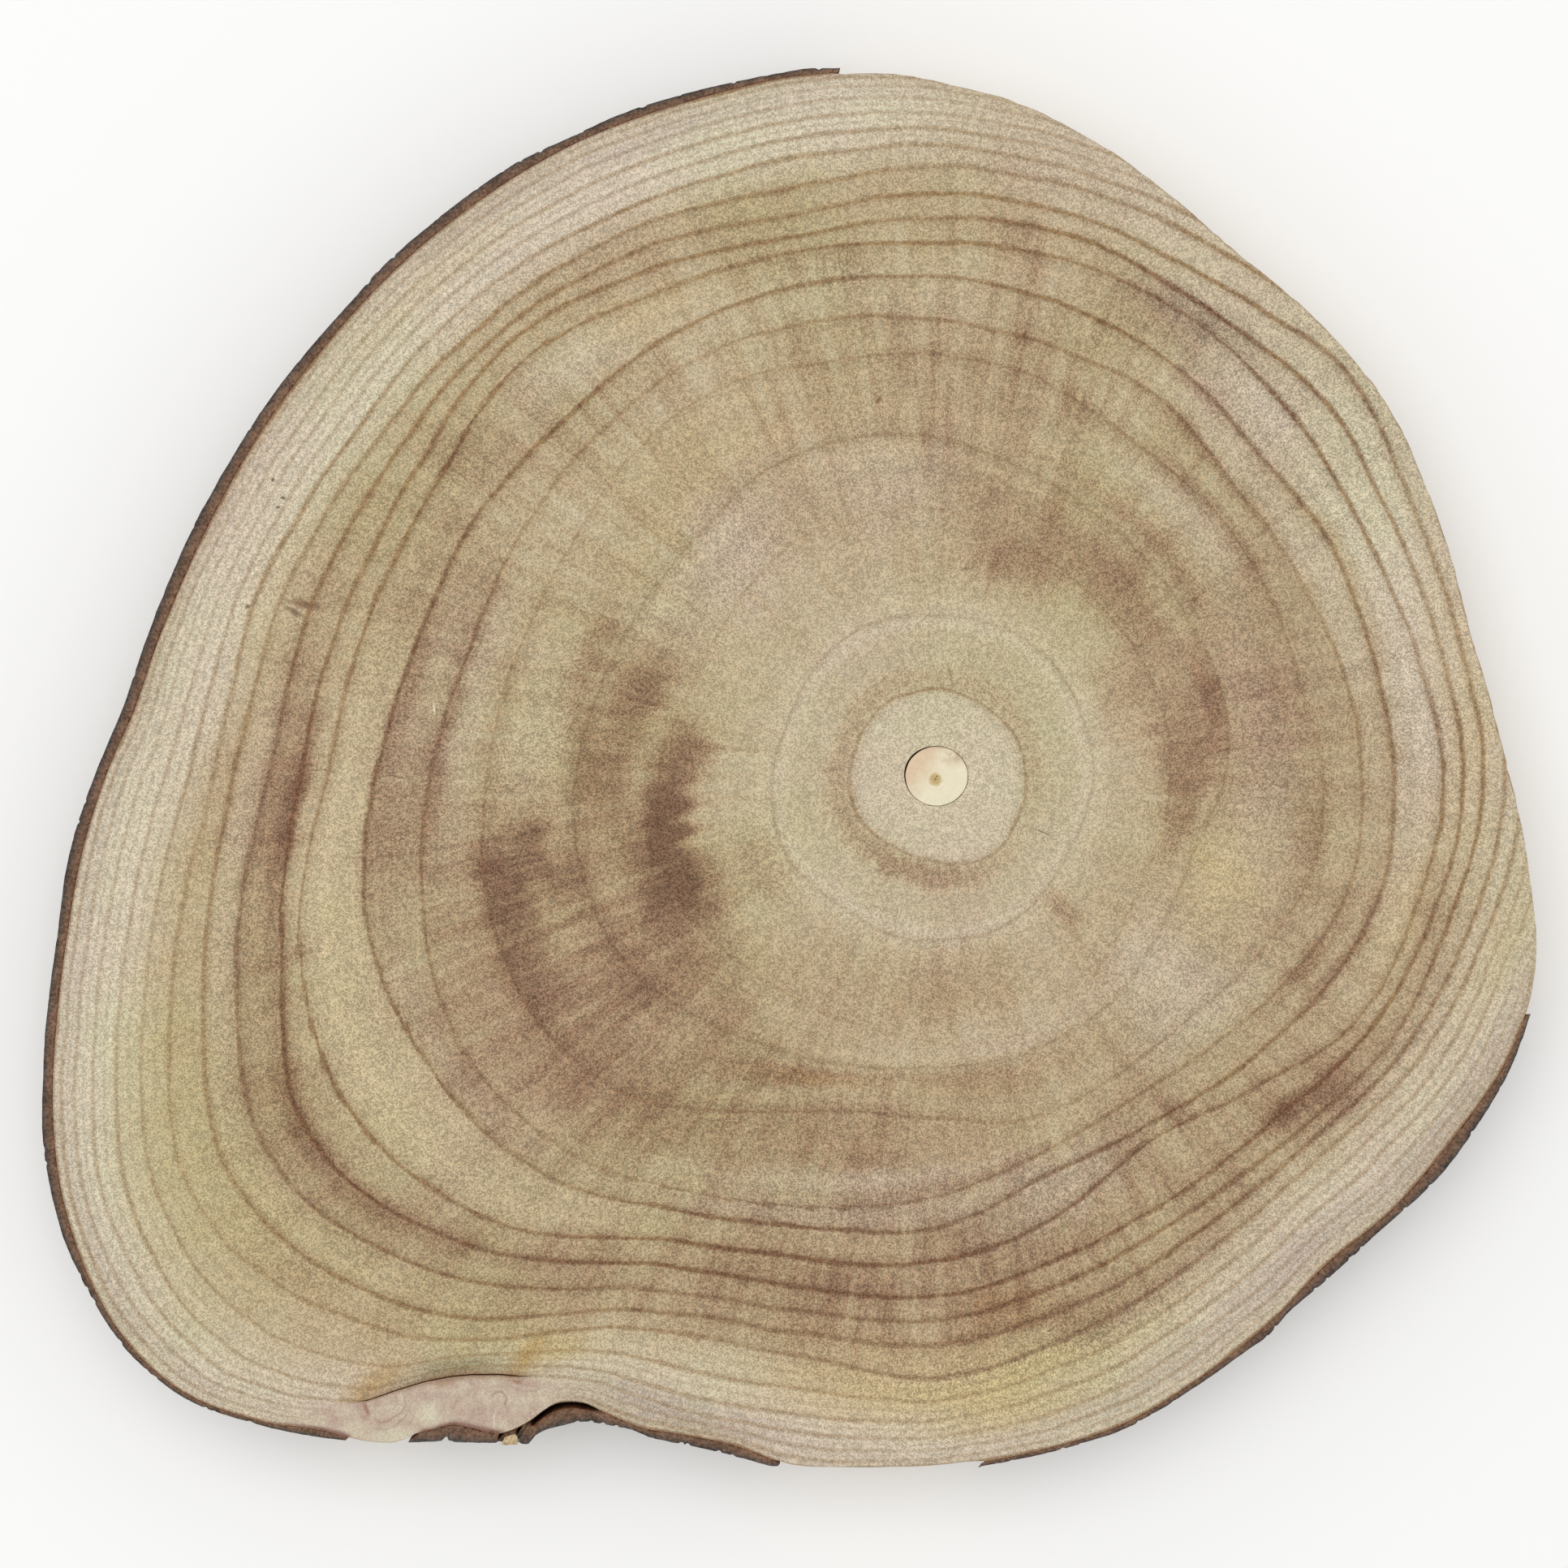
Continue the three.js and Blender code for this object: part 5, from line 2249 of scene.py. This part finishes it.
@dataclass
class Growths:
    """Lenticels on the bark, bast fibres on its broken part, scraps of bast on the bare wood.

    Each kind has its scatter's values, in metres where they are lengths.
    """

    edge_margin: float = 1.2
    fibre_margin: float = 3.6
    bare_span: Span = (-20, 98)
    lenticels: dict[str, float] = field(default_factory=lambda: {
        "Density": 9000.0, "Apart": 0.006, "Width": 0.0024, "Height": 0.0012, "Thickness": 0.0007,
        "Spread": 0.45,
    })
    fibres: dict[str, float] = field(default_factory=lambda: {
        "Density": 90000.0, "Apart": 0.0012, "Width": 0.00035, "Height": 0.0042, "Thickness": 0.00035,
        "Spread": 0.5, "Lean": 0.09,
    })
    scraps: dict[str, float] = field(default_factory=lambda: {
        "Density": 900.0, "Apart": 0.009, "Width": 0.0009, "Height": 0.0042, "Thickness": 0.0005,
        "Spread": 0.6, "Lean": 0.06,
    })

    def build(
        self, disc: Piece, strips: dict[str, Piece], finishes: Finishes, pith: Array,
    ) -> None:
        """Scatters every kind of growth.

        Args:
            disc: The wood disc.
            strips: The bark strips by CAD node.
            finishes: The materials.
            pith: The pith's x and y.
        """
        scatter = ScatterTree()
        low, high = (corner[2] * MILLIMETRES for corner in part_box("bark_left"))

        def clear_of_cuts(middles: Array, margin: float = self.edge_margin) -> Array:
            """Faces that lie well inside the two sawn faces."""
            return (middles[:, 2] > low + margin) & (middles[:, 2] < high - margin)

        def room_for_fibres(middles: Array) -> Array:
            """Faces far enough from the two sawn faces for an upright fibre."""
            return clear_of_cuts(middles, self.fibre_margin)

        def bare_side(middles: Array) -> Array:
            """Faces of the side that has lost its bark."""
            turn = np.degrees(np.arctan2(*(middles[:, :2] - pith).T[::-1]))
            return room_for_fibres(middles) & (turn > self.bare_span[0]) & (turn < self.bare_span[1])

        for seed, node in enumerate(("bark_left", "bark_lower_right"), 70):
            ground = face_of(strips[node], 1, clear_of_cuts)
            scatter.grow(node + "_lenticels", ground, finishes.lenticel, seed, self.lenticels)
        for seed, node in enumerate(("bark_wound", "bark_flap"), 80):
            ground = face_of(strips[node], 1, room_for_fibres)
            scatter.grow(node + "_fibres", ground, finishes.bark_back, seed, self.fibres)
        ground = face_of(disc, 1, bare_side)
        scatter.grow("bark_remnants", ground, finishes.bark_back, 90, self.scraps)


# ---- the studio


@dataclass
class Studio:
    """Pale floor, soft light and a camera that looks straight down."""

    camera_east: float = -1.3
    camera_north: float = -3.6
    camera_above: float = 843.9
    lens: float = 85.0
    sensor: float = 36.0
    floor_half: float = 6000.0
    paper: Colour = (255, 255, 254)
    ambient: float = 0.68
    lamp_power: float = 27.0
    lamp_size: float = 2.4
    lamp_place: tuple[float, float, float] = (-0.35, 0.45, 2.6)
    lamp_lean: Span = (-8, -7)

    def build(self, top: float) -> None:
        """Sets up the studio.

        Args:
            top: Height of the slice's upper face, in metres.
        """
        self._camera(top)
        self._floor()
        self._light()

    def _camera(self, top: float) -> None:
        """Adds the camera above the slice.

        Args:
            top: Height of the slice's upper face, in metres.
        """
        lens = bpy.data.cameras.new("camera")
        lens.lens = self.lens
        lens.sensor_width = self.sensor
        lens.clip_start, lens.clip_end = 0.01, 50.0
        camera = bpy.data.objects.new("camera", lens)
        place = self.camera_east, self.camera_north, self.camera_above
        camera.location = np.array(place) * METRES + (0, 0, top)
        bpy.context.scene.collection.objects.link(camera)
        bpy.context.scene.camera = camera

    def _floor(self) -> None:
        """Adds the floor, which isn't part of the object."""
        half = self.floor_half * METRES
        corners = [(-half, -half, 0), (half, -half, 0), (half, half, 0), (-half, half, 0)]
        mesh = bpy.data.meshes.new("floor")
        mesh.from_pydata(corners, [], [(0, 1, 2, 3)])
        _, shader = new_material("floor_paper")
        shader.inputs["Base Color"].default_value = linear(self.paper)
        shader.inputs["Roughness"].default_value = 0.9
        shader.inputs["Specular IOR Level"].default_value = 0.1
        mesh.materials.append(bpy.data.materials["floor_paper"])
        floor = bpy.data.objects.new("floor", mesh)
        bpy.context.scene.collection.objects.link(floor)
        floor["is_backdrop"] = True

    def _light(self) -> None:
        """Adds the ambient light and a large soft lamp overhead."""
        scene = bpy.context.scene
        world = bpy.data.worlds.new("studio")
        world.use_nodes = True
        backdrop = world.node_tree.nodes["Background"]
        backdrop.inputs["Color"].default_value = (1.0, 1.0, 1.0, 1.0)
        backdrop.inputs["Strength"].default_value = self.ambient
        scene.world = world
        lamp = bpy.data.lights.new("softbox", "AREA")
        lamp.shape = "SQUARE"
        lamp.size = self.lamp_size
        lamp.energy = self.lamp_power
        softbox = bpy.data.objects.new("softbox", lamp)
        softbox.location = self.lamp_place
        softbox.rotation_euler = (*(math.radians(lean) for lean in self.lamp_lean), 0)
        scene.collection.objects.link(softbox)
        scene.view_settings.view_transform = "Standard"


STRIPS = (
    BarkStrip("bark_left", "bark_left_visual", 100),
    BarkStrip("bark_lower_right", "bark_lower_right_visual", 120),
    BarkStrip(
        "bark_wound", "bark_wound_visual", 140, 0.3, cut_rows=9, tails=(0.0, 0.75), ragged_ends=(1.6, 0.0),
    ),
    BarkStrip(
        "bark_flap", "bark_flap_visual", 160, 0.3, cut_rows=9, tails=(0.3, 0.0), ragged_ends=(0.0, 3.0),
    ),
)

# Where the pith lies from the middle of its plug.
PITH_FROM_PLUG = (0.15, -0.1)


def main() -> None:
    """Builds the slice's looks around the frame and reports each piece."""
    logging.basicConfig(level=logging.INFO, format="%(message)s")
    cad_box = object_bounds()
    plug_low, plug_high = (np.array(corner)[:2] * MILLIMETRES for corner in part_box("pith_plug"))
    plug_centre = (plug_low + plug_high) / 2
    pith = plug_centre + np.array(PITH_FROM_PLUG)
    Studio().build(cad_box[1].z)
    finishes = Finishes(pith, plug_centre)
    bark = [PlanOutline(node, pith) for node in BARK_NODES]
    growth = Growth(pith, PlanOutline("wood_disc", pith), bark)
    disc = WoodDisc().build(growth, finishes)
    PithPlug().build(finishes)
    strips = {strip.node: strip.build(growth, finishes) for strip in STRIPS}
    Splinter().build(pith, finishes)
    Growths().build(disc, strips, finishes, pith)


if __name__ == "__main__":
    main()
